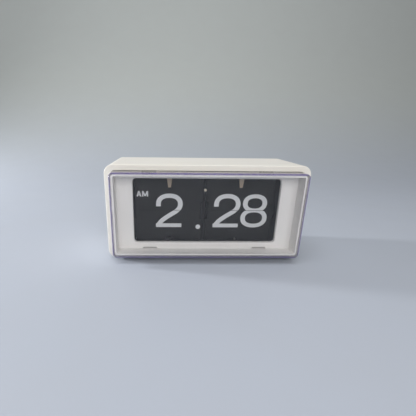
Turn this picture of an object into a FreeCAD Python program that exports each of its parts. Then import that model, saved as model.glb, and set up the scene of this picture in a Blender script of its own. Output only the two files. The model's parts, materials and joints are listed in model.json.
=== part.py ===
import FreeCAD, Part
import math
import os
import Sketcher

# Desk clock with split-flap numbers, millimetres.
# X runs to the right of the dial, the dial faces -Y, Z is up, the feet stand on Z = 0.

os.makedirs("parts", exist_ok=True)
doc = FreeCAD.newDocument("flip_clock")
sheet = doc.addObject("Spreadsheet::Sheet", "sizes")
V = FreeCAD.Vector
next_row = [1]
nodes = []


# ---------------------------------------------------------------- sizes
class Size:
    """A length that carries its value and the sheet expression that gives it."""

    def __init__(self, value, text):
        self.value = value
        self.text = text

    def __float__(self):
        return float(self.value)

    def join(self, other, sign, swap=False):
        left = self
        right = as_size(other)
        if swap:
            left, right = right, left
        results = {
            "+": left.value + right.value,
            "-": left.value - right.value,
            "*": left.value * right.value,
        }
        value = results[sign] if sign in results else left.value / right.value
        return Size(value, "(%s %s %s)" % (left.text, sign, right.text))

    def __add__(self, other):
        return self.join(other, "+")

    def __radd__(self, other):
        return self.join(other, "+", True)

    def __sub__(self, other):
        return self.join(other, "-")

    def __rsub__(self, other):
        return self.join(other, "-", True)

    def __mul__(self, other):
        return self.join(other, "*")

    def __rmul__(self, other):
        return self.join(other, "*", True)

    def __truediv__(self, other):
        return self.join(other, "/")

    def __neg__(self):
        return Size(-self.value, "(0 - %s)" % self.text)


def as_size(value):
    if isinstance(value, Size):
        return value
    return Size(float(value), "(%.6f)" % value if value < 0 else "%.6f" % value)


def size(name, value):
    """Write one named size into the sheet and hand it back."""
    cell = "A%d" % next_row[0]
    next_row[0] += 1
    sheet.set(cell, "%.6f" % float(value))
    sheet.setAlias(cell, name)
    return Size(float(value), "sizes." + name)


# case
case_width = size("case_width", 164.8)
case_height = size("case_height", 79.0)
case_wall = size("case_wall", 2.6)
case_corner = size("case_corner", 7.5)
case_back_edge = size("case_back_edge", 5.0)
case_front_edge = size("case_front_edge", 0.8)
foot_height = size("foot_height", 1.6)
foot_radius = size("foot_radius", 5.0)
rim_side = size("rim_side", 5.4)
rim_top = size("rim_top", 4.8)
seat_gap = size("seat_gap", 0.3)
ledge_thick = size("ledge_thick", 2.0)
ledge_reach = size("ledge_reach", 3.8)
cover_thick = size("cover_thick", 2.5)

# clear front cover and white tray
lens_wall = size("lens_wall", 1.5)
lens_corner = size("lens_corner", 3.6)
lens_stand = size("lens_stand", 11.5)
tray_wall = size("tray_wall", 1.3)
tray_gap = size("tray_gap", 0.15)
tray_depth = size("tray_depth", 14.3)
tray_face = size("tray_face", 2.0)
flange_step = size("flange_step", 1.0)
window_width = size("window_width", float(case_width) - 43.6)
window_height = size("window_height", float(case_height) - 24.4)
window_raise = size("window_raise", 1.1)
window_corner = size("window_corner", 3.0)
peg_radius = size("peg_radius", 1.15)
peg_length = size("peg_length", 2.3)
peg_rise = size("peg_rise", 18.0)
tab_width = size("tab_width", 12.0)
tab_offset = size("tab_offset", 47.2)
tab_slot = size("tab_slot", 1.3)

# flap stacks
flap_thick = size("flap_thick", 0.2)
flap_reach = size("flap_reach", float(window_height) / 2 - 2.3)
flap_side_gap = size("flap_side_gap", 0.8)
split_gap = size("split_gap", 0.35)
split_drop = size("split_drop", 1.0)
stack_gap = size("stack_gap", 2.6)
ear_circle = size("ear_circle", 9.0)
ear_height = size("ear_height", 0.5)
ear_length = size("ear_length", 1.3)
flap_swing_gap = size("flap_swing_gap", 0.45)
fallen_gap = size("fallen_gap", 0.3)
disc_rim = size("disc_rim", 1.0)
disc_radius = size("disc_radius", float(ear_circle) + float(disc_rim))
disc_thick = size("disc_thick", 1.6)
disc_gap = size("disc_gap", 0.4)
groove_in = size("groove_in", 0.6)
groove_out = size("groove_out", 0.4)
groove_depth = size("groove_depth", 1.1)
hour_leaves = 24
minute_leaves = 60

# drums, wheels and bearings
axle_radius = size("axle_radius", 1.25)
running_gap = size("running_gap", 0.05)
sleeve_radius = size("sleeve_radius", 2.4)
barrel_radius = size("barrel_radius", 3.5)
bush_radius = size("bush_radius", 3.6)
bush_neck = size("bush_neck", 2.8)
press_gap = size("press_gap", 0.03)
idler_stud = size("idler_stud", 1.5)
arbor_radius = size("arbor_radius", 1.5)
plate_thick = size("plate_thick", 1.2)
wheel_thick = size("wheel_thick", 2.0)

# battery
cell_radius = size("cell_radius", 7.1)
cell_length = size("cell_length", 49.0)
cell_height = size("cell_height", 15.0)
cell_gap = size("cell_gap", 0.6)

# screws and rods
screw_radius = size("screw_radius", 1.1)
screw_head = size("screw_head", 2.2)
screw_head_thick = size("screw_head_thick", 1.4)
thread_gap = size("thread_gap", 0.05)
rod_radius = size("rod_radius", 1.2)
small_shank = size("small_shank", 0.8)
small_head = size("small_head", 1.6)

# heights
case_bottom = foot_height
case_top = size("case_top", float(foot_height) + float(case_height))
lens_width = size("lens_width", float(case_width) - 2 * float(rim_side))
lens_height = size("lens_height", float(case_height) - 2 * float(rim_top))
lens_bottom = size("lens_bottom", float(case_bottom) + float(rim_top))
mid_height = size("mid_height", float(case_bottom) + float(case_height) / 2)
split_height = size("split_height", float(mid_height) - float(split_drop))
window_bottom = size(
    "window_bottom",
    float(mid_height) + float(window_raise) - float(window_height) / 2,
)
inner_width = size("inner_width", float(case_width) - 2 * float(case_wall))
inner_bottom = size("inner_bottom", float(case_bottom) + float(case_wall))
inner_height = size("inner_height", float(case_height) - 2 * float(case_wall))


# ear of the leaf on show, above the split line
def first_angle(leaves):
    return math.radians(180.0 / leaves)


hour_ear_rise = size("hour_ear_rise", float(ear_circle) * math.sin(first_angle(hour_leaves)))
minute_ear_rise = size(
    "minute_ear_rise",
    float(ear_circle) * math.sin(first_angle(minute_leaves)),
)
longest_leaf = float(flap_reach) - float(minute_ear_rise)
# a leaf's inner edge is cut back until it clears the drum disc, standing or fallen
disc_clear = 0.3
flap_notch = size(
    "flap_notch",
    math.sqrt((float(disc_radius) + disc_clear) ** 2 - (float(ear_circle) - disc_clear / 3) ** 2)
    + 2 * float(hour_ear_rise),
)
fan_radius = size("fan_radius", float(ear_circle) + longest_leaf)

# depths: a falling leaf must pass behind the clear cover, and the cell must pass the rear leaves
depth_front_to_axis = (
    float(lens_wall) + float(flap_swing_gap) + longest_leaf + float(ear_circle)
)
cell_drop = float(split_height) - float(cell_height)
cell_reach = float(fan_radius) + float(cell_radius) + float(cell_gap)
depth_axis_to_cell = math.sqrt(cell_reach * cell_reach - cell_drop * cell_drop)
depth_cell_to_back = float(cell_radius) + 0.2 + float(cover_thick)
thumb_stand = size("thumb_stand", 2.6)
clock_depth = size(
    "clock_depth",
    depth_front_to_axis + depth_axis_to_cell + depth_cell_to_back + float(thumb_stand),
)
lens_front = size("lens_front", -float(clock_depth) / 2)
case_front = size("case_front", float(lens_front) + float(lens_stand))
case_back = size("case_back", float(clock_depth) / 2 - float(thumb_stand))
case_depth = size("case_depth", float(case_back) - float(case_front))
tray_front = size("tray_front", float(lens_front) + float(tray_depth))
tray_back = size("tray_back", float(tray_front) + float(tray_face) + float(flange_step))
axis_y = size("axis_y", float(lens_front) + depth_front_to_axis)
cell_y = size("cell_y", float(axis_y) + depth_axis_to_cell)
cover_inner = size("cover_inner", float(case_back) - float(cover_thick))
ledge_front = size("ledge_front", float(tray_back) + 0.2)
ledge_back = size("ledge_back", float(ledge_front) + float(ledge_thick))

# widths of a stack, counted outwards from the middle of the clock
flap_inner = size("flap_inner", float(stack_gap) / 2)
flap_outer = size("flap_outer", float(window_width) / 2 - float(flap_side_gap))
inner_disc = size("inner_disc", float(flap_inner) + 0.2)
outer_disc = size("outer_disc", float(flap_outer) + float(disc_gap))
notch_width = size("notch_width", float(disc_thick) + float(disc_gap) + 0.3)
plate_inner = size("plate_inner", float(outer_disc) + float(disc_thick) + 1.2)
plate_outer = size("plate_outer", float(plate_inner) + float(plate_thick))
doc.recompute()


# ---------------------------------------------------------------- helpers
def bind(thing, prop, value):
    thing.setExpression(prop, as_size(value).text)


def node(thing, label):
    """Give a finished sub-part its own name and keep it for export."""
    thing.Label = label
    nodes.append((thing, label))
    return thing


def new_body(name):
    return doc.addObject("PartDesign::Body", name)


# The three sketch planes: their axis role, the axis they face and how pads grow along it.
PLANES = {
    "XZ": ("XZ_Plane", -1.0, True),
    "YZ": ("YZ_Plane", 1.0, False),
    "XY": ("XY_Plane", 1.0, False),
}


def new_sketch(body, plane, level):
    """Sketch on one of the body's own origin planes, shifted to the given level."""
    role, sign, _ = PLANES[plane]
    sketch = body.newObject("Sketcher::SketchObject", body.Name + "_sketch")
    support = [f for f in body.Origin.OriginFeatures if f.Role == role][0]
    sketch.AttachmentSupport = [(support, "")]
    sketch.MapMode = "FlatFace"
    level = as_size(level)
    offset = level if sign > 0 else -level
    sketch.AttachmentOffset = FreeCAD.Placement(V(0, 0, float(offset)), FreeCAD.Rotation())
    bind(sketch, "AttachmentOffset.Base.z", offset)
    return sketch


def pin(sketch, kind, ids, value):
    """Add one driven dimension to a sketch."""
    index = sketch.addConstraint(Sketcher.Constraint(kind, *ids, float(as_size(value))))
    bind(sketch, "Constraints[%d]" % index, value)


def draw_circle(sketch, across, up, radius):
    centre = V(float(as_size(across)), float(as_size(up)), 0)
    ring = Part.Circle(centre, V(0, 0, 1), float(as_size(radius)))
    g = sketch.addGeometry(ring, False)
    pin(sketch, "Radius", (g,), radius)
    pin(sketch, "DistanceX", (-1, 1, g, 3), across)
    pin(sketch, "DistanceY", (-1, 1, g, 3), up)


def draw_box(sketch, left, low, width, height):
    x0, y0 = float(as_size(left)), float(as_size(low))
    x1, y1 = x0 + float(as_size(width)), y0 + float(as_size(height))
    corners = [V(x0, y0, 0), V(x1, y0, 0), V(x1, y1, 0), V(x0, y1, 0)]
    g = [sketch.addGeometry(Part.LineSegment(corners[i], corners[(i + 1) % 4]), False) for i in range(4)]
    for i in range(4):
        sketch.addConstraint(Sketcher.Constraint("Coincident", g[i], 2, g[(i + 1) % 4], 1))
        sketch.addConstraint(Sketcher.Constraint("Vertical" if i % 2 else "Horizontal", g[i]))
    pin(sketch, "DistanceX", (-1, 1, g[0], 1), left)
    pin(sketch, "DistanceY", (-1, 1, g[0], 1), low)
    pin(sketch, "DistanceX", (g[0], 1, g[0], 2), width)
    pin(sketch, "DistanceY", (g[1], 1, g[1], 2), height)


def draw_round_box(sketch, left, low, width, height, corner):
    x0, y0 = float(as_size(left)), float(as_size(low))
    w, h, r = float(as_size(width)), float(as_size(height)), float(as_size(corner))
    x1, y1 = x0 + w, y0 + h
    runs = [
        (V(x0 + r, y0, 0), V(x1 - r, y0, 0)),
        (V(x1, y0 + r, 0), V(x1, y1 - r, 0)),
        (V(x1 - r, y1, 0), V(x0 + r, y1, 0)),
        (V(x0, y1 - r, 0), V(x0, y0 + r, 0)),
    ]
    centres = [
        V(x1 - r, y0 + r, 0),
        V(x1 - r, y1 - r, 0),
        V(x0 + r, y1 - r, 0),
        V(x0 + r, y0 + r, 0),
    ]
    sides = [sketch.addGeometry(Part.LineSegment(a, b), False) for a, b in runs]
    arcs = []
    for i, centre in enumerate(centres):
        ring = Part.Circle(centre, V(0, 0, 1), r)
        start = math.radians(-90 + 90 * i)
        arcs.append(sketch.addGeometry(Part.ArcOfCircle(ring, start, start + math.pi / 2), False))
    for i in range(4):
        sketch.addConstraint(Sketcher.Constraint("Tangent", sides[i], 2, arcs[i], 1))
        sketch.addConstraint(Sketcher.Constraint("Tangent", arcs[i], 2, sides[(i + 1) % 4], 1))
        sketch.addConstraint(Sketcher.Constraint("Vertical" if i % 2 else "Horizontal", sides[i]))
        if i:
            sketch.addConstraint(Sketcher.Constraint("Equal", arcs[0], arcs[i]))
    pin(sketch, "Radius", (arcs[0],), corner)
    pin(sketch, "DistanceX", (-1, 1, arcs[3], 3), as_size(left) + corner)
    pin(sketch, "DistanceY", (-1, 1, arcs[3], 3), as_size(low) + corner)
    pin(sketch, "DistanceX", (arcs[3], 3, arcs[0], 3), as_size(width) - as_size(corner) * 2)
    pin(sketch, "DistanceY", (arcs[0], 3, arcs[1], 3), as_size(height) - as_size(corner) * 2)


def draw_outline(sketch, points):
    """Closed straight-sided outline; every corner is placed by two driven dimensions."""
    spots = [(as_size(a), as_size(b)) for a, b in points]
    count = len(spots)
    g = []
    for i in range(count):
        a, b = spots[i], spots[(i + 1) % count]
        line = Part.LineSegment(V(float(a[0]), float(a[1]), 0), V(float(b[0]), float(b[1]), 0))
        g.append(sketch.addGeometry(line, False))
    for i in range(count):
        sketch.addConstraint(Sketcher.Constraint("Coincident", g[i], 2, g[(i + 1) % count], 1))
        pin(sketch, "DistanceX", (-1, 1, g[i], 1), spots[i][0])
        pin(sketch, "DistanceY", (-1, 1, g[i], 1), spots[i][1])


def pad(body, sketch, plane, length):
    doc.recompute()
    feature = body.newObject("PartDesign::Pad", body.Name + "_pad")
    feature.Profile = sketch
    feature.Length = float(as_size(length))
    bind(feature, "Length", length)
    feature.Reversed = PLANES[plane][2]
    doc.recompute()
    return feature


def pocket(body, sketch, plane, length):
    doc.recompute()
    before = body.Shape.Volume
    feature = body.newObject("PartDesign::Pocket", body.Name + "_pocket")
    feature.Profile = sketch
    feature.Length = float(as_size(length))
    bind(feature, "Length", length)
    feature.Reversed = not PLANES[plane][2]
    doc.recompute()
    if body.Shape.Volume >= before - 1e-6:
        raise RuntimeError("pocket cuts nothing: " + feature.Name)
    return feature


def round_edges(body, test, radius, kind="Fillet"):
    """Fillet (or chamfer) the edges of the body's tip that pass the test."""
    doc.recompute()
    tip = body.Tip
    names = ["Edge%d" % (i + 1) for i, e in enumerate(tip.Shape.Edges) if test(e)]
    if not names:
        raise RuntimeError("no edges to round on " + body.Name)
    feature = body.newObject("PartDesign::" + kind, body.Name + "_" + kind.lower())
    feature.Base = (tip, names)
    prop = "Radius" if kind == "Fillet" else "Size"
    setattr(feature, prop, float(as_size(radius)))
    bind(feature, prop, radius)
    doc.recompute()
    return feature


def flat_at(edge, axis, level):
    """True for an edge that lies wholly in the plane axis = level."""
    bounds = edge.BoundBox
    low = (bounds.XMin, bounds.YMin, bounds.ZMin)[axis]
    high = (bounds.XMax, bounds.YMax, bounds.ZMax)[axis]
    return abs(low - float(level)) < 1e-4 and abs(high - float(level)) < 1e-4


def place(thing, x, y, z):
    for axis, value in (("x", x), ("y", y), ("z", z)):
        bind(thing, "Placement.Base." + axis, value)


def block(x, y, z, length, width, height):
    thing = doc.addObject("Part::Box", "block")
    place(thing, x, y, z)
    bind(thing, "Length", length)
    bind(thing, "Width", width)
    bind(thing, "Height", height)
    return thing


TURNS = {
    "X": FreeCAD.Rotation(V(0, 1, 0), 90),
    "Y": FreeCAD.Rotation(V(1, 0, 0), -90),
    "Z": FreeCAD.Rotation(),
}


def rod(axis, x, y, z, radius, length):
    """Round bar that starts at the point and runs along the positive axis."""
    thing = doc.addObject("Part::Cylinder", "rod")
    thing.Placement = FreeCAD.Placement(V(), TURNS[axis])
    place(thing, x, y, z)
    bind(thing, "Radius", radius)
    bind(thing, "Height", length)
    return thing


def fuse(*things):
    joined = doc.addObject("Part::MultiFuse", "joined")
    joined.Shapes = list(things)
    return joined


def cut(base, tool):
    result = doc.addObject("Part::Cut", "cut_piece")
    result.Base = base
    result.Tool = tool
    return result


def tube(axis, x, y, z, outer, inner, length):
    start = {"X": (-1, 0, 0), "Y": (0, -1, 0), "Z": (0, 0, -1)}[axis]
    hole = rod(axis, as_size(x) + start[0], as_size(y) + start[1], as_size(z) + start[2],
               inner, as_size(length) + 2)
    return cut(rod(axis, x, y, z, outer, length), hole)


def loose(label, shape):
    """A sub-part whose shape is worked out in code from the sheet's sizes."""
    thing = doc.addObject("Part::Feature", label)
    thing.Shape = Part.makeCompound(shape.Solids)
    thing.Placement = FreeCAD.Placement()
    return node(thing, label)


def copies(source, spots):
    """Separate solids: the source shape moved to each spot."""
    doc.recompute()
    solids = []
    for spot in spots:
        moved = source.Shape.copy()
        moved.translate(V(*[float(as_size(c)) for c in spot]))
        solids.extend(moved.Solids)
    return Part.makeCompound(solids)


# ---------------------------------------------------------------- case
case_boss = size("case_boss", 3.0)
case_boss_depth = size("case_boss_depth", 10.0)
cover_screw_x = size("cover_screw_x", float(case_width) / 2 - 11.4)
cover_screw_low = size("cover_screw_low", float(case_bottom) + 10.4)
cover_screw_high = size("cover_screw_high", float(case_top) - 10.6)
cover_width = size("cover_width", float(case_width) - 15.8)
cover_bottom = size("cover_bottom", float(case_bottom) + 6.2)
cover_height = size("cover_height", float(case_height) - 12.4)
cover_corner = size("cover_corner", 4.0)
tray_screw_x = size("tray_screw_x", float(lens_width) / 2 - 1.6)
tray_screw_low = size("tray_screw_low", float(mid_height) - 19.0)
tray_screw_high = size("tray_screw_high", float(mid_height) + 19.0)


def make_case_shell():
    body = new_body("case_shell")
    outline = new_sketch(body, "XZ", case_front)
    draw_round_box(outline, -case_width / 2, case_bottom, case_width, case_height, case_corner)
    pad(body, outline, "XZ", case_depth)
    round_edges(body, lambda e: flat_at(e, 1, case_back), case_back_edge)
    round_edges(body, lambda e: flat_at(e, 1, case_front), case_front_edge)

    cavity = new_sketch(body, "XZ", ledge_back)
    draw_round_box(cavity, -inner_width / 2, inner_bottom, inner_width, inner_height,
                   case_corner - case_wall)
    pocket(body, cavity, "XZ", cover_inner - ledge_back)

    mouth = new_sketch(body, "XZ", case_front)
    draw_round_box(mouth, -lens_width / 2 - seat_gap, lens_bottom - seat_gap,
                   lens_width + seat_gap * 2, lens_height + seat_gap * 2, lens_corner + seat_gap)
    pocket(body, mouth, "XZ", ledge_front - case_front)

    throat = new_sketch(body, "XZ", ledge_front)
    draw_round_box(throat, -lens_width / 2 + ledge_reach, lens_bottom + ledge_reach,
                   lens_width - ledge_reach * 2, lens_height - ledge_reach * 2, lens_corner)
    pocket(body, throat, "XZ", ledge_thick + 1)

    hatch = new_sketch(body, "XZ", cover_inner)
    draw_round_box(hatch, -cover_width / 2 - seat_gap, cover_bottom - seat_gap,
                   cover_width + seat_gap * 2, cover_height + seat_gap * 2, cover_corner + seat_gap)
    pocket(body, hatch, "XZ", cover_thick + 1)

    # notches in the ledge for the clear cover's snap tabs
    notch_wide = tab_width + 1
    for side in (-1, 1):
        for low in (lens_bottom - seat_gap, lens_bottom + lens_height - ledge_reach):
            notch = new_sketch(body, "XZ", ledge_front)
            draw_box(notch, tab_offset * side - notch_wide / 2, low, notch_wide, ledge_reach + seat_gap)
            pocket(body, notch, "XZ", ledge_thick)

    # screw holes through the ledge into the tray
    holes = new_sketch(body, "XZ", ledge_front)
    for side in (-1, 1):
        for up in (tray_screw_low, tray_screw_high):
            draw_circle(holes, tray_screw_x * side, up, screw_radius + seat_gap / 3)
    pocket(body, holes, "XZ", ledge_thick)

    # bosses for the rear cover, each tied to the side wall by a web
    start = cover_inner - case_boss_depth
    for side in (-1, 1):
        for up in (cover_screw_low, cover_screw_high):
            web = new_sketch(body, "XZ", start)
            reach = inner_width / 2 - cover_screw_x + 0.5
            left = cover_screw_x if side > 0 else -cover_screw_x - reach
            draw_box(web, left, up - 1, reach, 2)
            pad(body, web, "XZ", case_boss_depth)
            post = new_sketch(body, "XZ", start)
            draw_circle(post, cover_screw_x * side, up, case_boss)
            pad(body, post, "XZ", case_boss_depth)
    pilots = new_sketch(body, "XZ", start)
    for side in (-1, 1):
        for up in (cover_screw_low, cover_screw_high):
            draw_circle(pilots, cover_screw_x * side, up, screw_radius + thread_gap)
    pocket(body, pilots, "XZ", case_boss_depth)
    return node(body, "case_shell")


def make_screw(name, x, y, z, length, toward):
    """Pan-head screw along Y; its head lies at y and its shank points the way given by toward."""
    head_start = y if toward < 0 else y - screw_head_thick
    head = rod("Y", x, head_start, z, screw_head, screw_head_thick)
    shank_start = y - length if toward < 0 else y
    shank = rod("Y", x, shank_start, z, screw_radius, length)
    slot_start = y + screw_head_thick - 0.5 if toward < 0 else y - screw_head_thick
    slot = block(as_size(x) - 1.2, slot_start, as_size(z) - 0.25, 2.4, 0.5, 0.5)
    thing = cut(fuse(head, shank), slot)
    thing.Label = name
    return thing


def make_rear_cover_screws():
    screw = make_screw("cover_screw", 0, case_back, 0, cover_thick + 6, -1)
    spots = [(cover_screw_x * side, 0, up) for side in (-1, 1)
             for up in (cover_screw_low, cover_screw_high)]
    loose("rear_cover_screws", copies(screw, [(x, -float(screw_head_thick), z) for x, _, z in spots]))


def make_feet():
    pad_shape = rod("Z", 0, 0, 0, foot_radius, foot_height)
    soft = doc.addObject("Part::Fillet", "foot")
    soft.Base = pad_shape
    doc.recompute()
    rims = [i + 1 for i, e in enumerate(pad_shape.Shape.Edges) if flat_at(e, 2, 0)]
    soft.Edges = [(i, 0.5, 0.5) for i in rims]
    across = float(case_width) / 2 - 14.4
    spots = [(across * side, y, 0) for side in (-1, 1)
             for y in (float(case_front) + 9.0, float(case_back) - 11.0)]
    loose("feet", copies(soft, spots))


# ---------------------------------------------------------------- clear cover and tray
lens_back = size("lens_back", float(tray_back) - float(tray_face))
tray_half = size("tray_half", float(lens_width) / 2 - float(lens_wall) - float(tray_gap))
tray_low = size("tray_low", float(lens_bottom) + float(lens_wall) + float(tray_gap))
tray_tall = size("tray_tall", float(lens_height) - 2 * float(lens_wall) - 2 * float(tray_gap))
post_radius = size("post_radius", 2.6)
post_x = size("post_x", float(plate_outer) + 5.8)
post_low = size("post_low", float(mid_height) - 23.5)
post_high = size("post_high", float(mid_height) + 23.5)
post_end = size("post_end", float(tray_back) + 6.0)
bar_post_x = size("bar_post_x", float(window_width) / 2 - 4.0)
bar_low = size("bar_low", float(window_bottom) + float(window_height) - 1.1)
bar_tall = size("bar_tall", 4.0)
bar_thick = size("bar_thick", 2.0)
leaf_front = size(
    "leaf_front",
    float(axis_y) - float(ear_circle) - float(flap_thick) / 2,
)
catch_thick = size("catch_thick", 0.5)
catch_back = size("catch_back", float(leaf_front) - 0.3)
bar_back = size("bar_back", float(catch_back) - float(catch_thick))
bar_front = size("bar_front", float(bar_back) - float(bar_thick))


def make_lens_cover():
    body = new_body("lens_cover")
    outline = new_sketch(body, "XZ", lens_front)
    draw_round_box(outline, -lens_width / 2, lens_bottom, lens_width, lens_height, lens_corner)
    pad(body, outline, "XZ", lens_back - lens_front)
    hollow = new_sketch(body, "XZ", lens_front + lens_wall)
    draw_round_box(hollow, -lens_width / 2 + lens_wall, lens_bottom + lens_wall,
                   lens_width - lens_wall * 2, lens_height - lens_wall * 2, lens_corner - lens_wall)
    pocket(body, hollow, "XZ", lens_back - lens_front)
    round_edges(body, lambda e: flat_at(e, 1, lens_front), 0.9)
    # snap tabs run back through the tray flange, each with a barb behind it
    for side in (-1, 1):
        for low, barb_low in (
            (lens_bottom, lens_bottom),
            (lens_bottom + lens_height - lens_wall, lens_bottom + lens_height - lens_wall - 0.8),
        ):
            tab = new_sketch(body, "XZ", lens_back - 0.5)
            draw_box(tab, tab_offset * side - tab_width / 2 + 0.5, low, tab_width - 1, lens_wall)
            pad(body, tab, "XZ", tray_back - lens_back + 2.1)
            barb = new_sketch(body, "XZ", tray_back + 0.2)
            draw_box(barb, tab_offset * side - tab_width / 2 + 0.5, barb_low, tab_width - 1,
                     lens_wall + 0.8)
            pad(body, barb, "XZ", 1.4)
    return node(body, "lens_cover")


def make_tray_bezel():
    body = new_body("tray_bezel")
    outline = new_sketch(body, "XZ", lens_front + lens_wall + seat_gap)
    draw_round_box(outline, -tray_half, tray_low, tray_half * 2, tray_tall, lens_corner - lens_wall)
    pad(body, outline, "XZ", tray_front + tray_face - lens_front - lens_wall - seat_gap)
    basin = new_sketch(body, "XZ", lens_front + lens_wall + seat_gap)
    draw_round_box(basin, -tray_half + tray_wall, tray_low + tray_wall,
                   (tray_half - tray_wall) * 2, tray_tall - tray_wall * 2, 1)
    pocket(body, basin, "XZ", tray_front - lens_front - lens_wall - seat_gap)
    flange = new_sketch(body, "XZ", lens_back)
    draw_round_box(flange, -lens_width / 2, lens_bottom, lens_width, lens_height, lens_corner)
    pad(body, flange, "XZ", tray_back - lens_back)
    window = new_sketch(body, "XZ", tray_front)
    draw_round_box(window, -window_width / 2, window_bottom, window_width, window_height, window_corner)
    pocket(body, window, "XZ", tray_back - tray_front)
    round_edges(body, is_window_rim, 0.6)
    # slots that the snap tabs hook into, open at the foot and head of the tray face
    for side in (-1, 1):
        left = tab_offset * side - tab_width / 2
        floor = tray_low + tray_wall
        roof = tray_low + tray_tall - tray_wall
        for low in (floor, roof - tab_slot):
            slot = new_sketch(body, "XZ", tray_front)
            draw_box(slot, left, low, tab_width, tab_slot)
            pocket(body, slot, "XZ", tray_back - tray_front)
        for low in (lens_bottom - 0.5, lens_bottom + lens_height - lens_wall - tray_gap):
            gate = new_sketch(body, "XZ", lens_back)
            draw_box(gate, left, low, tab_width, lens_wall + tray_gap + 0.5)
            pocket(body, gate, "XZ", tray_back - lens_back)
    # posts for the movement frame and for the catch bar
    for side in (-1, 1):
        for up in (post_low, post_high):
            post = new_sketch(body, "XZ", tray_back)
            draw_circle(post, post_x * side, up, post_radius)
            pad(body, post, "XZ", post_end - tray_back)
    pilots = new_sketch(body, "XZ", tray_back)
    for side in (-1, 1):
        for up in (post_low, post_high):
            draw_circle(pilots, post_x * side, up, screw_radius + thread_gap)
    pocket(body, pilots, "XZ", post_end - tray_back)
    blind = new_sketch(body, "XZ", tray_back - 1.7)
    for side in (-1, 1):
        for up in (tray_screw_low, tray_screw_high):
            draw_circle(blind, tray_screw_x * side, up, screw_radius + thread_gap)
    pocket(body, blind, "XZ", 2.7)
    return node(body, "tray_bezel")


def is_window_rim(edge):
    """Edges of the window on the tray's front face."""
    if not flat_at(edge, 1, tray_front):
        return False
    bounds = edge.BoundBox
    inside_x = max(abs(bounds.XMin), abs(bounds.XMax)) < float(window_width) / 2 + 0.01
    inside_z = bounds.ZMin > float(window_bottom) - 0.01
    below = bounds.ZMax < float(window_bottom) + float(window_height) + 0.01
    return inside_x and inside_z and below


def make_window_mask():
    """Black box-shaped surround between the tray and the flaps."""
    body = new_body("window_mask")
    wide = window_width / 2 + 0.6
    outline = new_sketch(body, "XZ", tray_back + 0.1)
    draw_round_box(outline, -wide - 1, window_bottom - 1.6, wide * 2 + 2, window_height + 3.2,
                   window_corner + 1)
    length = bar_front - 0.4 - tray_back - 0.1
    pad(body, outline, "XZ", length)
    inside = new_sketch(body, "XZ", tray_back + 0.1)
    draw_round_box(inside, -wide, window_bottom - 0.6, wide * 2, window_height + 1.2, window_corner)
    pocket(body, inside, "XZ", length)
    # two bosses on its top wall carry the catch bar
    pilots = new_sketch(body, "XZ", tray_back + 0.1)
    for side in (-1, 1):
        boss = new_sketch(body, "XZ", tray_back + 0.1)
        draw_circle(boss, bar_post_x * side, bar_low + bar_tall / 2, 1.4)
        pad(body, boss, "XZ", bar_front - tray_back - 0.1)
        draw_circle(pilots, bar_post_x * side, bar_low + bar_tall / 2, small_shank + thread_gap)
    pocket(body, pilots, "XZ", bar_front - tray_back)
    return node(body, "window_mask")


# ---------------------------------------------------------------- movement frame
rod_front = size("rod_front", float(axis_y) - 8.0)
rod_back = size("rod_back", float(cover_inner) - 4.0)
rod_high = size("rod_high", float(inner_bottom) + float(inner_height) - 2.6)
rod_low = size("rod_low", float(inner_bottom) + 2.4)
rod_back_low = size("rod_back_low", float(cell_height) + float(cell_radius) + 4.0)
rod_back_high = size("rod_back_high", float(rod_high) - 3.5)
rod_spots = [
    (rod_front, rod_low),
    (rod_front, rod_high),
    (rod_back, rod_back_low),
    (rod_back, rod_back_high),
]
plate_front = size("plate_front", float(post_end))
plate_low = size("plate_low", float(inner_bottom) + 0.6)
plate_tall = size("plate_tall", float(inner_height) - 1.2)
plate_rear = size("plate_rear", float(cover_inner) - 1.8)
thumb_radius = size("thumb_radius", 11.6)
thumb_thick = size("thumb_thick", 3.6)
setting_y = size("setting_y", float(clock_depth) / 2 - float(thumb_radius))
# teeth of the train: minute wheel, its pinion, the wheel beside it, setting gear and motor pinion
MINUTE_TEETH = 24
IDLER_PINION_TEETH = 10
IDLER_WHEEL_TEETH = 38
SETTING_TEETH = 12
MOTOR_TEETH = 10
train_teeth = (MINUTE_TEETH + IDLER_PINION_TEETH + IDLER_WHEEL_TEETH + SETTING_TEETH) / 2
train_module = size("train_module", (float(setting_y) - float(axis_y)) / train_teeth)
idler_y = size(
    "idler_y",
    float(axis_y) + float(train_module) * (MINUTE_TEETH + IDLER_PINION_TEETH) / 2,
)
MOTOR_DIRECTION = math.radians(110)
motor_reach = float(train_module) * (IDLER_WHEEL_TEETH + MOTOR_TEETH) / 2
motor_y = size("motor_y", float(idler_y) + motor_reach * math.cos(MOTOR_DIRECTION))
motor_z = size("motor_z", float(split_height) + motor_reach * math.sin(MOTOR_DIRECTION))
# hour reduction: ten to forty, then ten to sixty
SMALL_TEETH = 10
REDUCTION_TEETH = 40
HOUR_TEETH = 60
transfer_module = size("transfer_module", 0.7)
hour_module = size("hour_module", 0.5)
reduction_y = size(
    "reduction_y",
    float(axis_y) + float(transfer_module) * (SMALL_TEETH + REDUCTION_TEETH) / 2,
)
stud_radius = size("stud_radius", 1.0)
bracket_x = size("bracket_x", float(plate_outer) + 9.2)
bracket_thick = size("bracket_thick", 0.8)
bracket_half = size("bracket_half", 13.0)
motor_radius = size("motor_radius", 10.4)
motor_thick = size("motor_thick", 4.6)
motor_lip = size("motor_lip", 0.8)
motor_shaft = size("motor_shaft", 1.0)
lead_radius = size("lead_radius", 0.45)
small_length = size("small_length", 3.6)
bracket_screw_high = size("bracket_screw_high", float(motor_z) + 9.5)
bracket_screw_reach = size("bracket_screw_reach", 10.5)


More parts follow.
